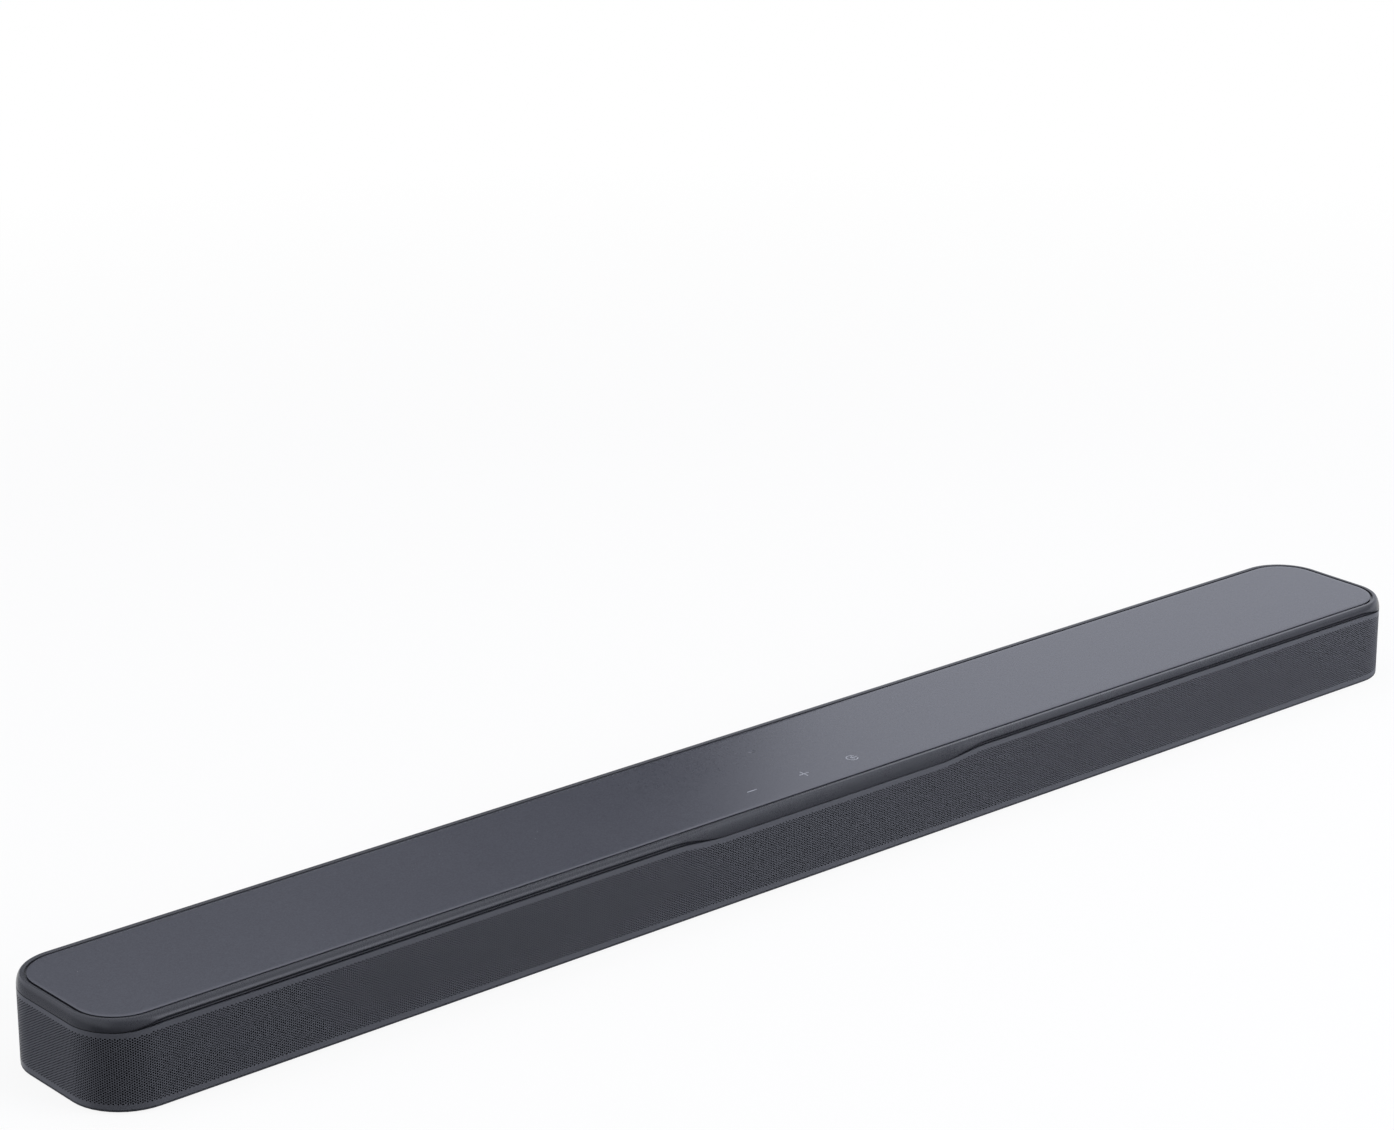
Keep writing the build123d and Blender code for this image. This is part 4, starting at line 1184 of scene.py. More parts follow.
@dataclass
class TopPanel:
    """Satin panel set in the rim, with a small locating dimple and printed touch marks."""

    form: BarForm
    crown_width: float = 3.0
    crown_drop: float = 0.14
    edge_round: float = 0.12
    edge_lean: float = 20.0
    lip: float = 0.1
    lip_recess: float = 0.9
    keen: float = 40.0
    dimple_at: tuple[float, float] = (-1.1, 18.1)
    dimple_size: tuple[float, float] = (2.4, 1.65)
    dimple_depth: float = 0.35
    mark_height: float = 0.03
    mark_sink: float = 0.02
    mark_keen: float = 20.0
    stroke: float = 0.62
    mark_half: float = 3.4
    minus_at: tuple[float, float] = (-38.7, -24.6)
    plus_at: tuple[float, float] = (-1.0, -24.8)
    source_at: tuple[float, float] = (34.9, -24.7)

    CROWN_STEPS, EDGE_STEPS, RING_STEPS = 9, 6, 49
    BOWL_STEPS = {"u_segments": 40, "v_segments": 24}

    # Lines of the marks, in units of half a mark.
    BAR = ((-1.0, 0.0), (1.0, 0.0))
    ARROW_SHAFT = ((1.05, 0.0), (-0.2, 0.0))
    ARROW_HEAD = ((0.28, 0.42), (-0.3, 0.0), (0.28, -0.42))
    RING_RADIUS = 0.95
    RING_TURN = (32.0, 328.0)

    def plate(self) -> bpy.types.Mesh:
        """Makes the plate with its softly rounded edge.

        Returns:
            The plate's mesh.
        """
        form, plan, edge = self.form, self.form.panel, self.edge_round
        places = Stations.closed(corner=28, end=10, front=120, rear=120)
        shoulder = form.top - self.crown_drop - edge
        rings = []
        for step in np.linspace(0.0, 1.0, self.CROWN_STEPS):
            inset = edge + self.crown_width * (1 - step)
            rings.append(lifted(plan.ring(places, inset), form.top - self.crown_drop * step**3))
        for angle in np.linspace(math.radians(self.edge_lean), math.pi / 2, self.EDGE_STEPS):
            inset = edge * (1 - math.sin(angle))
            rings.append(lifted(plan.ring(places, inset), shoulder + edge * math.cos(angle)))
        recessed = plan.ring(places, self.lip_recess)
        rings.append(lifted(plan.ring(places), shoulder - self.lip))
        rings.append(lifted(recessed, shoulder - self.lip))
        rings.append(lifted(recessed, form.top - form.panel_thickness))
        return make_mesh("top_panel_plate", *skin(rings))

    def cutter(self) -> bpy.types.Mesh:
        """Makes the shallow oval bowl that the dimple is cut with.

        Returns:
            The bowl's mesh.
        """
        work = bmesh.new()
        bmesh.ops.create_uvsphere(work, **self.BOWL_STEPS, radius=1.0)
        size = (part * MM for part in (*self.dimple_size, self.dimple_depth))
        spot = Vector((*self.dimple_at, self.form.top)) * MM
        shape = Matrix.Translation(spot) @ Matrix.Diagonal((*size, 1.0))
        bmesh.ops.transform(work, matrix=shape, verts=work.verts)
        return mesh_of("dimple_cutter", work)

    def build_plate(self) -> bpy.types.Object:
        """Builds the panel with its dimple.

        Returns:
            The piece.
        """
        mesh = cut_out(self.plate(), self.cutter())
        smooth(mesh, self.keen)
        return place_mesh(mesh, "top_panel_satin", Finishes.PANEL, ["top_panel"])

    def stroke_prism(self, line: np.ndarray) -> Shape:
        """Thin raised stroke along a line in plan.

        Args:
            line: x and y of the line's points.

        Returns:
            Points and faces.
        """
        way = np.gradient(line, axis=0)
        way /= np.linalg.norm(way, axis=1)[:, None]
        side = np.stack([way[:, 1], -way[:, 0]], axis=1) * self.stroke / 2
        edge = np.concatenate([line - side, (line + side)[::-1]])[::-1]
        top, foot = self.form.top + self.mark_height, self.form.top - self.mark_sink
        loop = len(edge)
        faces: Faces = []
        for k in range(loop):
            after = (k + 1) % loop
            faces.append([k, k + loop, after + loop, after])
        for k in range(len(line) - 1):
            far, near = loop - 1 - k, loop - 2 - k
            faces.append([k, k + 1, near, far])
            faces.append([far + loop, near + loop, k + 1 + loop, k + loop])
        return np.concatenate([lifted(edge, top), lifted(edge, foot)]), faces

    def mark_lines(self) -> list[np.ndarray]:
        """Lines of the minus, the plus and the ring with an arrow into it.

        Returns:
            x and y of each line's points.
        """
        gap = self.stroke / 2 / self.mark_half
        ring = compass(np.radians(np.linspace(*self.RING_TURN, self.RING_STEPS)))
        lines = (
            (self.minus_at, self.BAR),
            (self.plus_at, self.BAR),
            (self.plus_at, ((0.0, 1.0), (0.0, gap))),
            (self.plus_at, ((0.0, -gap), (0.0, -1.0))),
            (self.source_at, self.ARROW_SHAFT),
            (self.source_at, self.ARROW_HEAD),
            (self.source_at, ring * self.RING_RADIUS),
        )
        return [np.array(line) * self.mark_half + spot for spot, line in lines]

    def build_marks(self) -> bpy.types.Object:
        """Builds the printed marks.

        Returns:
            The piece.
        """
        points, faces = together([self.stroke_prism(line) for line in self.mark_lines()])
        mesh = make_mesh("touch_marks", points, faces, self.mark_keen)
        return place_mesh(mesh, "touch_marks", Finishes.MARKS)


@dataclass
class Grille:
    """Perforated metal sheet, bent round the front, both ends and the rear corners."""

    form: BarForm
    pitch: float = 1.37
    hole: float = 0.522
    first_row: float = 5.0
    rows_below: int = 2
    rows: int = 33
    top_border: float = 2.3
    foot_border: float = 1.9
    rear_border: float = 3.0
    front_pieces: int = 5
    path_points: int = 2400
    flat_weld: float = 0.02
    wall_weld: float = 0.01
    keen: float = 30.0

    INPUTS = {
        "Path": "Object", "Holed Cell": "Object", "Plain Cell": "Object", "Columns": "Int",
        "First Column": "Int", "Rows": "Int", "Step": "Float", "Pitch": "Float",
        "First Row": "Float", "Foot": "Float", "Hole": "Float", "Wall": "Float",
        "Top Border": "Float", "Foot Border": "Float", "Rear Border": "Float", "Run": "Float",
        "Paint": "Material",
    }

    @property
    def columns(self) -> int:
        """Number of columns of holes round the whole sheet."""
        return round(self.form.run_length / (self.pitch * math.sqrt(3) / 2))

    @property
    def step(self) -> float:
        """Distance between columns."""
        return self.form.run_length / self.columns

    def path(self) -> bpy.types.Object:
        """Makes the line that the sheet follows, with the sheet's upper edge as its radius.

        Returns:
            The helper object.
        """
        form = self.form
        lengths = np.linspace(0.0, form.run_length, self.path_points)
        points = form.plan.ring(form.plan.open_run(lengths, form.grille_return))
        curve = bpy.data.curves.new("grille_path", "CURVE")
        curve.dimensions = "3D"
        spline = curve.splines.new("POLY")
        spline.points.add(len(points) - 1)
        placed = np.column_stack([lifted(points * MM, 0.0), np.ones(len(points))])
        spline.points.foreach_set("co", placed.ravel())
        spline.points.foreach_set("radius", form.grille_line.height(points) * MM)
        return add_object("grille_path", curve)

    def cell(self, holed: bool) -> bpy.types.Object:
        """One cell of the sheet before it is bent, facing -Y.

        Args:
            holed: whether it has a hole.

        Returns:
            The helper object.
        """
        half, rise = self.step / 2, self.step / math.sqrt(3)
        flat = np.array(
            [(half, 0), (half, rise), (-half, rise), (-half, 0), (-half, -rise), (half, -rise)]
        )
        faces: Faces = [[3, 0, 1, 2], [4, 5, 0, 3]]
        if holed:
            flat = np.concatenate([flat, circle(6) * self.hole])
            faces = [[6 + k, k, (k + 1) % 6, 6 + (k + 1) % 6] for k in range(6)]
        points = np.insert(flat, 1, 0.0, axis=1)
        return add_object("holed_cell" if holed else "plain_cell", make_mesh("cell", points, faces))

    def tree(self) -> bpy.types.NodeTree:
        """Makes the tree that lays out the cells, bends the sheet and gives it its wall.

        Returns:
            The Geometry Nodes tree.
        """
        sheet, size = geometry_tree("perforated_sheet", self.INPUTS, "Sheet")
        edge = sheet.node("GeometryNodeInputRadius")

        def shape_of(name: str) -> Signal:
            """Geometry of the object that a named input holds."""
            return sheet.node(
                "GeometryNodeObjectInfo", sockets={"Object": size[name]}, output="Geometry"
            )

        path = shape_of("Path")
        by_length = {"mode": "LENGTH", "data_type": "FLOAT"}

        def along(length: Signal) -> Signal:
            """Samples the path at a length; the value is the sheet's upper edge there."""
            sockets = {"Curves": path, "Value": edge, "Length": length}
            return sheet.node("GeometryNodeSampleCurve", by_length, sockets)

        def moved(shape: Signal, **sockets: Signal) -> Signal:
            """Moves the points of a shape."""
            return sheet.node("GeometryNodeSetPosition", sockets={0: shape, **sockets})

        def merged(shape: Signal, distance: float) -> Signal:
            """Joins points that are nearer than a distance in millimetres."""
            return sheet.node(
                "GeometryNodeMergeByDistance", sockets={0: shape, "Distance": distance * MM}
            )

        # One point for each cell, without those above the sheet's upper edge.
        index = sheet.node("GeometryNodeInputIndex")
        column = (index / size["Rows"]).math("FLOOR")
        row = index - column * size["Rows"]
        column = column + size["First Column"]
        across = (column + 0.5) * size["Step"]
        centre = size["First Row"] + (row + column.math("MODULO", 2.0) * 0.5) * size["Pitch"]
        spots = {
            "Count": size["Columns"] * size["Rows"],
            "Position": sheet.vector(across, 0.0, centre),
        }
        points = sheet.node("GeometryNodePoints", sockets=spots)
        here_x, _, here_z = sheet.xyz(sheet.node("GeometryNodeInputPosition"))
        half_step, half_pitch = size["Step"] * 0.5, size["Pitch"] * 0.5
        either = along(here_x - half_step).math("MAXIMUM", along(here_x + half_step))
        above = (here_z - half_pitch).math("GREATER_THAN", either - WELD)
        points = sheet.node(
            "GeometryNodeDeleteGeometry", {"domain": "POINT"}, {0: points, "Selection": above}
        )

        # Cells with holes inside the borders and plain ones outside, trimmed to the sheet's edges.
        lowest, highest = size["Foot"] + size["Foot Border"], along(here_x) - size["Top Border"]
        holed = (here_z + size["Hole"]).math("LESS_THAN", highest)
        holed = holed * (here_z - size["Hole"]).math("GREATER_THAN", lowest)
        holed = holed * here_x.math("GREATER_THAN", size["Rear Border"])
        holed = holed * here_x.math("LESS_THAN", size["Run"] - size["Rear Border"])
        cells = []
        for name, chosen in (("Holed Cell", holed), ("Plain Cell", 1.0 - holed)):
            sockets = {"Points": points, "Selection": chosen, "Instance": shape_of(name)}
            cells.append(sheet.node("GeometryNodeInstanceOnPoints", sockets=sockets))
        flat = sheet.node("GeometryNodeJoinGeometry", sockets={0: cells})
        flat = sheet.node("GeometryNodeRealizeInstances", sockets={0: flat})
        trimmed = here_z.math("MINIMUM", along(here_x)).math("MAXIMUM", size["Foot"])
        flat = moved(flat, Position=sheet.vector(here_x, 0.0, trimmed))
        flat = merged(flat, self.flat_weld)

        # The sheet's front, bent along the path, with the way it faces kept for the wall.
        place, heading = sheet.outputs(along(here_x), "Position", "Tangent")
        way_x, way_y, _ = sheet.xyz(heading)
        flat = sheet.node(
            "GeometryNodeStoreNamedAttribute",
            {"data_type": "FLOAT_VECTOR", "domain": "POINT"},
            {0: flat, "Name": "outward", "Value": sheet.vector(way_y, 0.0 - way_x, 0.0)},
        )
        spot_x, spot_y, _ = sheet.xyz(place)
        front = moved(flat, Position=sheet.vector(spot_x, spot_y, here_z))

        # The walls of the holes and the sheet's back.
        back = sheet.node(
            "GeometryNodeExtrudeMesh",
            {"mode": "FACES"},
            {0: front, "Offset Scale": 0.0, "Individual": False},
        )
        facing = sheet.node(
            "GeometryNodeInputNamedAttribute", {"data_type": "FLOAT_VECTOR"}, {"Name": "outward"}
        )
        depth = sheet.node(
            "ShaderNodeVectorMath", {"operation": "SCALE"}, {0: facing, "Scale": 0.0 - size["Wall"]}
        )
        back = moved(back, Selection=sheet.outputs(back, "Top")[0], Offset=depth)
        back = sheet.node("GeometryNodeFlipFaces", sockets={0: back})
        whole = sheet.node("GeometryNodeJoinGeometry", sockets={0: [front, back]})
        whole = merged(whole, self.wall_weld)
        whole = sheet.node("GeometryNodeRealizeInstances", sockets={0: whole})
        whole = sheet.node("GeometryNodeSetMaterial", sockets={0: whole, "Material": size["Paint"]})
        sheet.node("NodeGroupOutput", sockets={0: whole})
        return sheet.tree

    def sections(self) -> list[tuple[str, int, int]]:
        """Divides the sheet into lengths.

        Returns:
            Name, first column and number of columns of each length.
        """
        legs = self.form.plan.legs()
        turn = round((self.form.grille_return + sum(legs[:3])) / self.step)
        cuts = np.linspace(turn, self.columns - turn, self.front_pieces + 1).round().astype(int)
        cuts = [0, *cuts.tolist(), self.columns]
        fronts = [f"grille_front_{number}" for number in range(1, self.front_pieces + 1)]
        names = ["grille_left_end", *fronts, "grille_right_end"]
        return [(name, low, high - low) for name, low, high in zip(names, cuts, cuts[1:])]

    def build(self) -> list[bpy.types.Object]:
        """Builds the sheet in lengths that each stay light.

        Returns:
            The pieces, from the rear left edge round to the rear right edge.
        """
        tree = self.tree()
        helpers = [self.path(), self.cell(True), self.cell(False)]
        pitch = self.step * 2 / math.sqrt(3)
        lengths = {
            "Step": self.step, "Pitch": pitch,
            "First Row": self.first_row - self.rows_below * pitch,
            "Foot": self.form.grille_foot, "Hole": self.hole, "Wall": self.form.grille_wall,
            "Top Border": self.top_border, "Foot Border": self.foot_border,
            "Rear Border": self.rear_border, "Run": self.form.run_length,
        }
        values: dict[str, Any] = {
            "Path": helpers[0], "Holed Cell": helpers[1], "Plain Cell": helpers[2],
            "Rows": self.rows, "Paint": Finishes.GRILLE.material(),
            **{name: length * MM for name, length in lengths.items()},
        }
        pieces = []
        for name, first, count in self.sections():
            start = bpy.data.meshes.new(f"{name}_work")
            mesh = grown(name, start, tree, {**values, "First Column": first, "Columns": count})
            mesh.attributes.remove(mesh.attributes["outward"])
            smooth(mesh, self.keen)
            replaced = [] if pieces else ["grille"]
            pieces.append(place_mesh(mesh, name, Finishes.GRILLE, replaced))
        discard(*helpers)
        return pieces


@dataclass
class GrilleCloth:
    """Acoustic cloth stretched behind the perforated sheet."""

    form: BarForm
    front_inset: float = 0.87
    wall: float = 0.34
    top_lap: float = 1.0
    foot_gap: float = 0.02
    steps: int = 700

    def build(self) -> bpy.types.Object:
        """Returns:
            The piece.
        """
        form, count = self.form, self.steps
        lengths = np.linspace(0.0, form.run_length, count)
        places = form.plan.open_run(lengths, form.grille_return)
        high = form.grille_line.height(form.plan.ring(places)) - self.top_lap
        low = np.full(count, form.grille_foot + self.foot_gap)
        front = form.plan.ring(places, self.front_inset)
        back = form.plan.ring(places, self.front_inset + self.wall)
        strips = [lifted(front, high), lifted(front, low), lifted(back, low), lifted(back, high)]
        faces: Faces = []
        here = np.arange(count - 1)
        for number in range(4):
            a, b = number * count, (number + 1) % 4 * count
            faces += np.column_stack([a + here, b + here, b + here + 1, a + here + 1]).tolist()
        faces.append([0, 3 * count, 2 * count, count])
        faces.append([count - 1, 2 * count - 1, 3 * count - 1, 4 * count - 1])
        points = np.concatenate(strips)
        mesh = make_mesh("grille_cloth_panel", points, faces)
        weave = mesh.uv_layers.new(name="weave")
        flat = np.column_stack([np.tile(lengths, 4), points[:, 2]]) * MM
        corner = np.empty(len(mesh.loops), dtype=np.int32)
        mesh.loops.foreach_get("vertex_index", corner)
        weave.data.foreach_set("uv", flat[corner].ravel())
        piece = place_mesh(mesh, "grille_cloth_panel", Finishes.CLOTH, ["grille_cloth"])
        return piece


@dataclass
class Housing:
    """Bottom case, rear panel and feet, with their moulded edges softened, and the case screws."""

    edge: float = 0.25
    foot_edge: float = 0.5
    edge_steps: int = 2
    edge_angle: float = 40.0
    flat_angle: float = 0.5
    keen: float = 20.0
    inset_x: tuple[float, ...] = (456.0, 230.0, 336.0, 214.0)
    inset_y: tuple[float, ...] = (20.0, 36.0, 36.0, -22.0)
    seat: float = 4.7
    head_radius: float = 3.2
    head_height: float = 2.2
    shank_radius: float = 1.5
    shank_length: float = 16.0
    slot_half: float = 1.75
    slot_width: float = 0.62
    slot_depth: float = 1.2
    screw_sides: int = 28
    screw_turn: float = 0.7
    screw_keen: float = 35.0

    # Shares of the radius and of the length or height, from the screw's point to its head.
    SHANK = ((0.55, 1.0), (1.0, 0.9), (1.0, 0.0))
    HEAD = ((1.0, 0.0), (1.0, 0.55), (0.86, 0.88), (0.55, 1.0))
    INPUTS = {"Places": "Geometry", "Screw": "Object", "Turn": "Float", "Plating": "Material"}

    def spots(self) -> list[tuple[float, float]]:
        """Places of the case screws."""
        return [(side * x, y) for side in (-1, 1) for x, y in zip(self.inset_x, self.inset_y)]

    def softened(
        self, node: str, name: str, width: float, finish: Finish
    ) -> bpy.types.Object:
        """Copies a node's shape with its edges rounded.

        Args:
            node: the node that is copied and replaced.
            name: the new piece's name.
            width: size of the rounding.
            finish: the piece's finish.

        Returns:
            The piece.
        """
        work = welded(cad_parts[node].data)
        bmesh.ops.dissolve_limit(
            work, angle_limit=math.radians(self.flat_angle), use_dissolve_boundaries=False,
            verts=work.verts, edges=work.edges, delimit=set(),
        )
        helper = add_object(f"{name}_work", mesh_of(name, work))
        round_off = helper.modifiers.new("edges", "BEVEL")
        round_off.width = width * MM
        round_off.segments = self.edge_steps
        round_off.limit_method = "ANGLE"
        round_off.angle_limit = math.radians(self.edge_angle)
        round_off.use_clamp_overlap = True
        done = solid_of(helper)
        discard(helper)
        smooth(done, self.keen)
        return place_mesh(done, name, finish, [node])

    def screw(self) -> bpy.types.Object:
        """Makes one case screw with a cross recess, head down, with its seat at the origin.

        Returns:
            The helper object.
        """
        outline = [(r * self.shank_radius, z * self.shank_length) for r, z in self.SHANK]
        outline += [(r * self.head_radius, -z * self.head_height) for r, z in self.HEAD]
        body = skin([lifted(circle(self.screw_sides) * r, lift) for r, lift in outline])
        work = bmesh.new()
        spot = Matrix.Translation((0.0, 0.0, -self.head_height))
        for size in ((self.slot_half, self.slot_width / 2), (self.slot_width / 2, self.slot_half)):
            bar = bmesh.ops.create_cube(work, size=2.0)["verts"]
            scale = Matrix.Diagonal((*size, self.slot_depth, 1.0))
            bmesh.ops.transform(work, matrix=spot @ scale, verts=bar)
        bmesh.ops.scale(work, vec=(MM, MM, MM), verts=work.verts)
        mesh = cut_out(make_mesh("screw_body", *body), mesh_of("cross", work), crossing=True)
        return add_object("screw_pattern", mesh)

    def screw_tree(self) -> bpy.types.NodeTree:
        """Makes the tree that sets one screw on every point.

        Returns:
            The Geometry Nodes tree.
        """
        sheet, given = geometry_tree("screw_places", self.INPUTS, "Screws")
        shape = sheet.node(
            "GeometryNodeObjectInfo", sockets={"Object": given["Screw"]}, output="Geometry"
        )
        turned = sheet.vector(0.0, 0.0, sheet.node("GeometryNodeInputIndex") * given["Turn"])
        laid = sheet.node(
            "GeometryNodeInstanceOnPoints",
            sockets={"Points": given["Places"], "Instance": shape, "Rotation": turned},
        )
        laid = sheet.node("GeometryNodeRealizeInstances", sockets={0: laid})
        laid = sheet.node(
            "GeometryNodeSetMaterial", sockets={0: laid, "Material": given["Plating"]}
        )
        sheet.node("NodeGroupOutput", sockets={0: laid})
        return sheet.tree

    def build_screws(self) -> bpy.types.Object:
        """Builds the case screws.

        Returns:
            The piece.
        """
        start = bpy.data.meshes.new("screw_spots")
        start.from_pydata([(x * MM, y * MM, self.seat * MM) for x, y in self.spots()], [], [])
        pattern = self.screw()
        plating = Finishes.SCREW.material()
        values = {"Screw": pattern, "Turn": self.screw_turn, "Plating": plating}
        mesh = grown("case_screw_set", start, self.screw_tree(), values)
        discard(pattern)
        smooth(mesh, self.screw_keen)
        return place_mesh(mesh, "case_screw_set", Finishes.SCREW, ["case_screws"])

    def build(self) -> list[bpy.types.Object]:
        """Builds every piece of the housing.

        Returns:
            The pieces.
        """
        return [
            self.softened("bottom_case", "base_moulding", self.edge, Finishes.CASE),
            self.softened("rear_panel", "rear_moulding", self.edge, Finishes.CASE),
            self.softened("feet", "rubber_feet", self.foot_edge, Finishes.FEET),
            self.build_screws(),
        ]


@dataclass
class Suspension:
    """Roll and spider of each woofer, which join its frame outside and its cone inside."""

    woofers: int = 4
    roll_width: float = 3.6
    end_slices: int = 6
    keen: float = 30.0

    def slice_of(self, point: Vector, low: Vector, high: Vector) -> tuple[float, ...]:
        """Finds the slice of a racetrack ring that holds a point.

        Args:
            point: a point of the ring.
            low: the ring's lowest corner.
            high: the ring's highest corner.

        Returns:
            A point on the slice's outer edge and one on its inner edge, as six numbers.
        """
        middle, radius = (low + high) / 2, (high.z - low.z) / 2
        reach = (high.x - low.x) / 2 - radius
        across, up = point.x - middle.x, point.z - middle.z
        pivot, way = middle, Vector((0.0, 0.0, math.copysign(1.0, up)))
        if abs(across) > reach:
            side, step = math.copysign(1.0, across), math.pi / self.end_slices
            turn = (math.floor(math.atan2(up, abs(across) - reach) / step) + 0.5) * step
            pivot = middle + Vector((side * reach, 0.0, 0.0))
            way = Vector((side * math.cos(turn), 0.0, math.sin(turn)))
        return (*(pivot + way * radius), *(pivot + way * (radius - self.roll_width * MM)))

    def finished(
        self, piece: bpy.types.Object, finish: Finish, node: str
    ) -> bpy.types.Object:
        """Closes a ring's seams, gives it its finish and hides the node that it stands for.

        Args:
            piece: the ring.
            finish: its finish.
            node: the node that it stands for.

        Returns:
            The piece.
        """
        work = welded(piece.data)
        work.to_mesh(piece.data)
        work.free()
        smooth(piece.data, self.keen)
        return finish_piece(piece, finish, [node])

    def build_roll(self, number: int) -> bpy.types.Object:
        """Builds one roll in slices, each running from its outer to its inner edge, and joins them.

        Args:
            number: the woofer's number.

        Returns:
            The piece.
        """
        node = f"woofer_surround_{number}"
        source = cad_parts[node].data
        low, high = (Vector(corner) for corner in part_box(node))
        slices: dict[tuple[float, ...], list[Vector]] = {}
        for face in source.polygons:
            corners = slices.setdefault(self.slice_of(face.center, low, high), [])
            corners += [source.vertices[index].co.copy() for index in face.vertices]
        pieces = []
        for edges, corners in slices.items():
            mesh = bpy.data.meshes.new(f"woofer_roll_{number}")
            mesh.from_pydata(corners, [], np.arange(len(corners)).reshape(-1, 3).tolist())
            piece = add_object(mesh.name, mesh)
            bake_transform(piece)
            pieces.append(piece)
        with bpy.context.temp_override(
            active_object=pieces[0], selected_objects=pieces, selected_editable_objects=pieces
        ):
            bpy.ops.object.join()
        return self.finished(pieces[0], Finishes.SURROUND, node)

    def build_spider(self, number: int) -> bpy.types.Object:
        """Builds one spider, which runs from its foot on the frame to its collar on the coil.

        Args:
            number: the woofer's number.

        Returns:
            The piece.
        """
        node = f"woofer_spider_{number}"
        piece = add_object(f"woofer_spider_cloth_{number}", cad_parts[node].data.copy())
        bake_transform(piece)
        return self.finished(piece, Finishes.SPIDER, node)

    def build(self) -> list[bpy.types.Object]:
        """Builds the rolls and spiders."""
        numbers = range(1, self.woofers + 1)
        return [self.build_roll(n) for n in numbers] + [self.build_spider(n) for n in numbers]


@dataclass
class InnerWorks:
    """Nodes of the frame whose shape is right as it is, and the finish of each."""

    finishes: tuple[tuple[str, Finish], ...] = (
        ("front_baffle", Finishes.BAFFLE), ("left_enclosure", Finishes.BAFFLE),
        ("centre_enclosure", Finishes.BAFFLE), ("right_enclosure", Finishes.BAFFLE),
        ("woofer_frame", Finishes.BASKET), ("woofer_motor", Finishes.MOTOR),
        ("woofer_cone", Finishes.CONE), ("woofer_coil", Finishes.COIL),
        ("tweeter_body", Finishes.TWEETER), ("tweeter_motor", Finishes.MOTOR),
        ("tweeter_dome", Finishes.DOME), ("main_board", Finishes.BOARD),
        ("power_board", Finishes.BOARD), ("touch_board", Finishes.BOARD),
        ("heat_sink", Finishes.SINK), ("antennas", Finishes.ANTENNA),
        ("display_module", Finishes.DISPLAY), ("ir_receiver", Finishes.RECEIVER),
        ("hdmi_ports", Finishes.HDMI), ("usb_port", Finishes.USB),
        ("optical_port", Finishes.PORT), ("power_inlet", Finishes.PORT),
        ("wall_inserts", Finishes.BRASS), ("driver_screws", Finishes.SCREW),
        ("board_screws", Finishes.SCREW),
    )

    def dress(self) -> None:
        """Gives every node that still shows its finish."""
        count = 0
        for node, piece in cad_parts.items():
            for start, finish in self.finishes:
                if node.startswith(start):
                    if not piece.material_slots:
                        piece.data.materials.append(None)
                    for slot in piece.material_slots:
                        slot.link = "OBJECT"
                        slot.material = finish.material()
                    count += 1
        LOG.info("dressed %d nodes of the frame", count)


# Studio


def card(
    name: str, centre: Place, facing: Place, size: tuple[float, float], material: bpy.types.Material
) -> bpy.types.Object:
    """Makes a flat stage card.

    Args:
        name: the card's name.
        centre: its middle, in metres.
        facing: the way it faces.
        size: its width and height in metres.
        material: what it is made of.

    Returns:
        The card, marked as stage.
    """
    x, y = (part / 2 for part in size)
    turn = Vector(facing).to_track_quat("Z", "Y").to_matrix().to_4x4()
    put = Matrix.Translation(centre) @ turn
    corners = [put @ Vector((*corner, 0.0)) for corner in ((-x, -y), (x, -y), (x, y), (-x, y))]
    mesh = bpy.data.meshes.new(name)
    mesh.from_pydata(corners, [], [[0, 1, 2, 3]])
    mesh.materials.append(material)
    made = add_object(name, mesh)
    return made


@dataclass(frozen=True)
class Flag:
    """A card that only glossy surfaces mirror, as in a product studio. Sizes are in metres.

    Its brightness changes by the slope for each metre along X from the start, up to the limit. It
    is white above a height.
    """

    name: str
    level: float
    centre: Place
    facing: Place
    size: tuple[float, float]
    slope: float = 0.0
    start: float = 0.0
    limit: float = 1.5
    bright_above: float = 100.0

    UNSEEN_BY = ("camera", "diffuse", "shadow", "transmission")

    def material(self, tint: Colour) -> bpy.types.Material:
        """Makes the card's glow.

        Args:
            tint: its colour.

        Returns:
            The material.
        """
        made, sheet = blank_material(self.name)
        x, _, z = sheet.xyz(sheet.node("ShaderNodeTexCoord", output="Object"))
        strength = (x - self.start) * self.slope + self.level
        strength = strength.math("MAXIMUM", 0.0).math("MINIMUM", self.limit)
        high = (z - self.bright_above).math("GREATER_THAN", 0.0)
        strength = strength * (1.0 - high) + high
        glow = {"Color": (*tint, 1.0), "Strength": strength}
        shader = sheet.node("ShaderNodeEmission", sockets=glow)
        sheet.node("ShaderNodeOutputMaterial", sockets={"Surface": shader})
        return made

    def build(self, tint: Colour) -> None:
        """Sets up the card.

        Args:
            tint: colour of its glow.
        """
        made = card(self.name, self.centre, self.facing, self.size, self.material(tint))
        for ray in self.UNSEEN_BY:
            setattr(made, f"visible_{ray}", False)


@dataclass(frozen=True)
class Lamp:
    """A soft rectangular lamp: place and size in metres, power in watts."""

    name: str
    spot: Place
    size: tuple[float, float]
    power: float

    COLOUR = (0.95, 0.97, 1.04)

    def build(self, aim: Place) -> None:
        """Sets up the lamp.

        Args:
            aim: the point that it faces.
        """
        data = bpy.data.lights.new(self.name, "AREA")
        data.shape, data.size, data.size_y = "RECTANGLE", *self.size
        data.energy, data.color = self.power, self.COLOUR
        made = add_object(self.name, data)
        made.location = self.spot
        way = Vector(aim) - Vector(self.spot)
        made.rotation_euler = way.to_track_quat("-Z", "Y").to_euler()
        made.visible_glossy = made.visible_camera = False


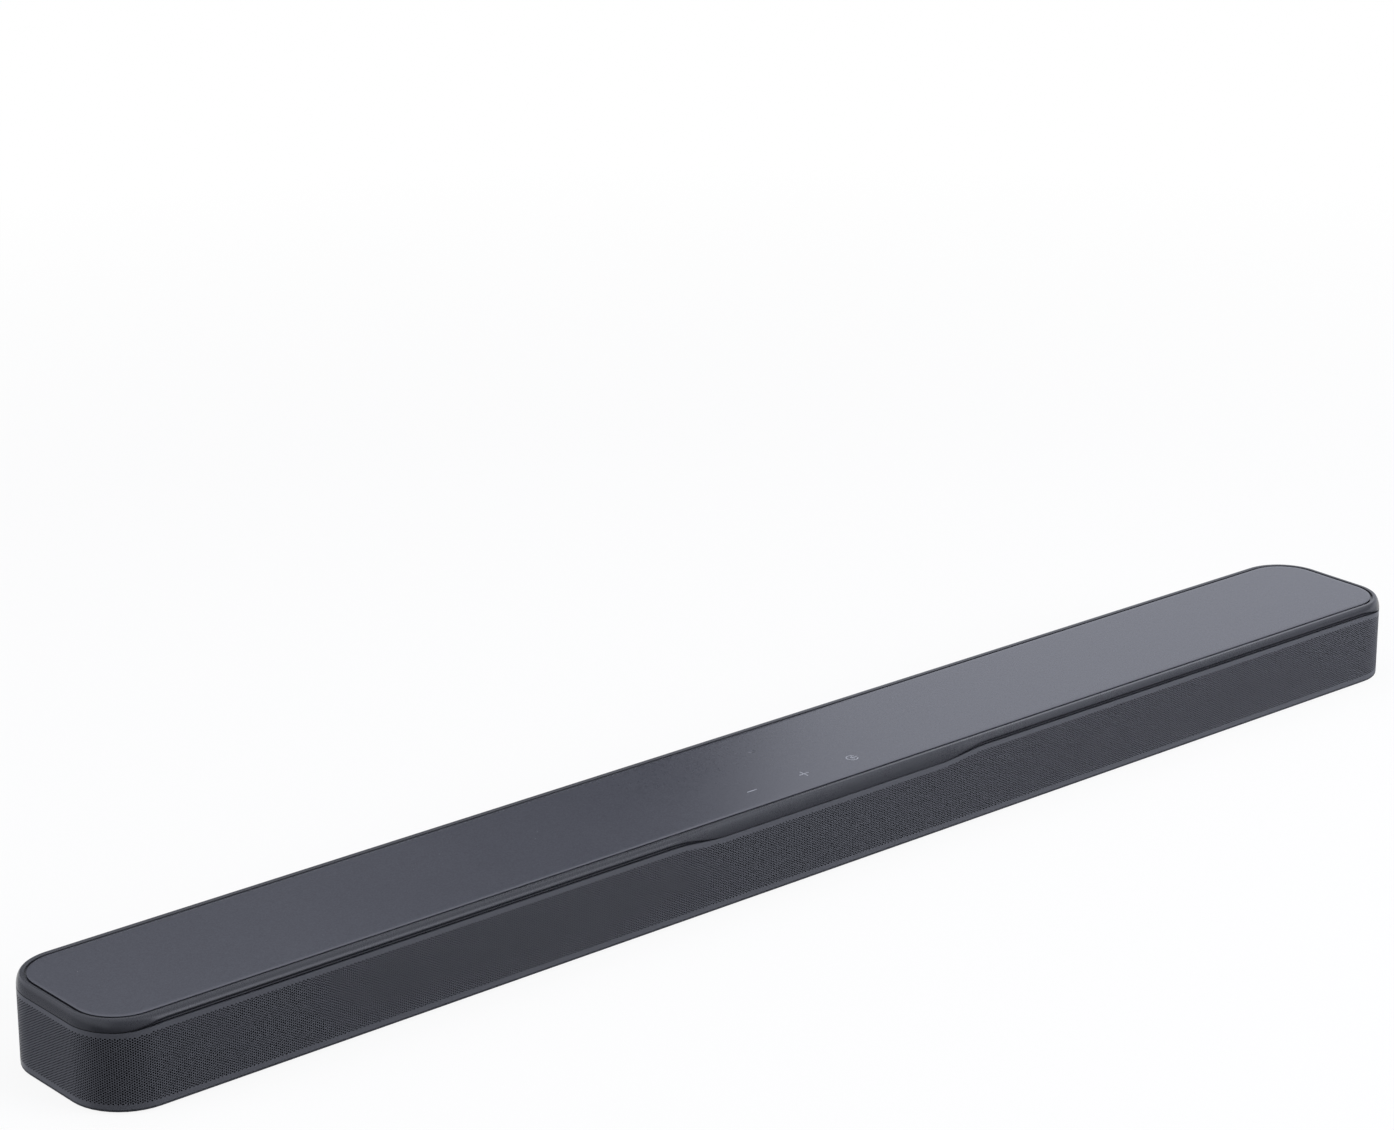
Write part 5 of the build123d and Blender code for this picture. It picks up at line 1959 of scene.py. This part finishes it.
@dataclass
class Studio:
    """Pale floor, soft lamps, cards and the camera. Sizes are in metres."""

    eye: Place = (-1.39668, -1.55815, 0.89246)
    heading: Place = (0.61569, 0.71606, -0.32892)
    lens: float = 105.36
    sensor: float = 36.0
    sight: float = 200.0
    ambient: float = 0.2
    floor_size: float = 60.0
    floor_grey: float = 0.9
    floor_glow: float = 0.9
    shadow_reach: float = 0.8
    tint: Colour = (0.99, 1.02, 1.14)
    aim: Place = (0.0, 0.0, 0.03)

    WHITE = (1.0, 1.0, 1.0)
    UP, DOWN = (0.0, 0.0, 1.0), (0.0, 0.0, -1.0)
    ON_FLOOR = 0.0006
    FLAGS = (
        Flag(
            "rear_flag", -0.05, (1.3, 3.01, 1.85), (-0.78, -2.0, 0.0), (2.14672, 2.7),
            slope=-0.45, start=2.3, limit=0.25, bright_above=1.95,
        ),
        Flag("front_flag", 0.5, (-0.25, -3.2, 2.25), (0.0, 1.0, 0.0), (9.5, 4.5)),
        Flag("overhead_left", 0.75, (0.55, 0.6, 2.4), DOWN, (2.3, 2.2)),
        Flag("overhead_right", 0.6, (4.4, 1.3, 2.4), DOWN, (2.8, 2.0)),
        Flag("front_right", 0.3, (4.25, -1.35, 2.4), DOWN, (3.0, 3.3)),
        Flag("front_window", 2.6, (1.2, -2.0, 2.05), (0.0, 0.4, -0.92), (1.3, 2.4), limit=3.0),
        Flag("floor_front", 0.3, (0.0, -2.25, ON_FLOOR), UP, (9.0, 4.44), slope=0.3, limit=0.5),
        Flag("floor_left", 0.5, (-2.5, 2.0, ON_FLOOR), UP, (4.06, 4.06)),
    )
    LAMPS = (
        Lamp("overhead", (0.2, 0.3, 2.4), (3.0, 2.0), 25.0),
        Lamp("front_right", (1.2, -2.1, 1.1), (1.6, 1.4), 66.0),
        Lamp("left_side", (-2.2, 0.6, 0.9), (1.4, 1.2), 20.0),
    )

    def camera(self) -> None:
        """Sets the camera at the photograph's place."""
        data = bpy.data.cameras.new("camera")
        data.lens, data.sensor_width, data.sensor_fit = self.lens, self.sensor, "HORIZONTAL"
        data.clip_end = self.sight
        made = add_object("camera", data)
        made.location = self.eye
        made.rotation_euler = Vector(self.heading).to_track_quat("-Z", "Y").to_euler()
        bpy.context.scene.camera = made

    @staticmethod
    def seen_directly(sheet: NodeSheet) -> Signal:
        """Tells camera, glossy and transmission rays from those that only light.

        Args:
            sheet: the tree that asks.

        Returns:
            1 for the rays that see, 0 for the others.
        """
        path = sheet.node("ShaderNodeLightPath", output="Is Camera Ray")
        glossy, through = sheet.outputs(path, "Is Glossy Ray", "Is Transmission Ray")
        return path.math("MAXIMUM", glossy).math("MAXIMUM", through)

    def world(self) -> None:
        """Sets up white surroundings that light the bar softly."""
        world = bpy.data.worlds.new("studio")
        world.use_nodes = True
        world.node_tree.nodes.clear()
        sheet = NodeSheet(world.node_tree)
        strength = self.seen_directly(sheet) * (1.0 - self.ambient) + self.ambient
        direct = sheet.node("ShaderNodeLightPath", output="Is Camera Ray")
        tint = sheet.mix_colour(direct, self.tint, self.WHITE)
        shader = sheet.node("ShaderNodeBackground", sockets={"Color": tint, "Strength": strength})
        sheet.node("ShaderNodeOutputWorld", sockets={"Surface": shader})
        bpy.context.scene.world = world

    def floor(self) -> None:
        """Sets up a wide pale floor that keeps a soft shadow and is white further away."""
        made, sheet = blank_material("studio_floor")
        grey = (self.floor_grey, self.floor_grey, self.floor_grey, 1.0)
        matt = sheet.node("ShaderNodeBsdfDiffuse", sockets={"Color": grey})
        white = {"Color": (*self.WHITE, 1.0), "Strength": 1.0}
        glow = sheet.node("ShaderNodeEmission", sockets=white)
        place = sheet.node("ShaderNodeTexCoord", output="Object")
        away = sheet.node(
            "ShaderNodeVectorMath", {"operation": "LENGTH"}, {0: place}, output="Value"
        )
        far = (away - self.shadow_reach) / self.shadow_reach
        far = far.math("MAXIMUM", 0.0).math("MINIMUM", 1.0)
        factor = self.seen_directly(sheet) * (far * (1.0 - self.floor_glow) + self.floor_glow)
        mixed = sheet.node("ShaderNodeMixShader", sockets={0: factor, 1: matt, 2: glow})
        sheet.node("ShaderNodeOutputMaterial", sockets={"Surface": mixed})
        size = (self.floor_size, self.floor_size)
        floor = card("floor", (0.0, 0.0, 0.0), self.UP, size, made)
        floor.visible_diffuse = False

    def build(self) -> None:
        """Sets up the whole studio."""
        bpy.context.scene.view_settings.view_transform = "Standard"
        self.camera()
        self.world()
        self.floor()
        for flag in self.FLAGS:
            flag.build(self.tint)
        for lamp in self.LAMPS:
            lamp.build(self.aim)


def main() -> None:
    logging.basicConfig(level=logging.INFO, format="%(name)s: %(message)s")
    form = BarForm()
    housing = Housing()
    panel = TopPanel(form)
    TopCover(form).build(housing.spots())
    panel.build_plate()
    panel.build_marks()
    Grille(form).build()
    GrilleCloth(form).build()
    housing.build()
    Suspension().build()
    InnerWorks().dress()
    Studio().build()


if __name__ == "__main__":
    main()
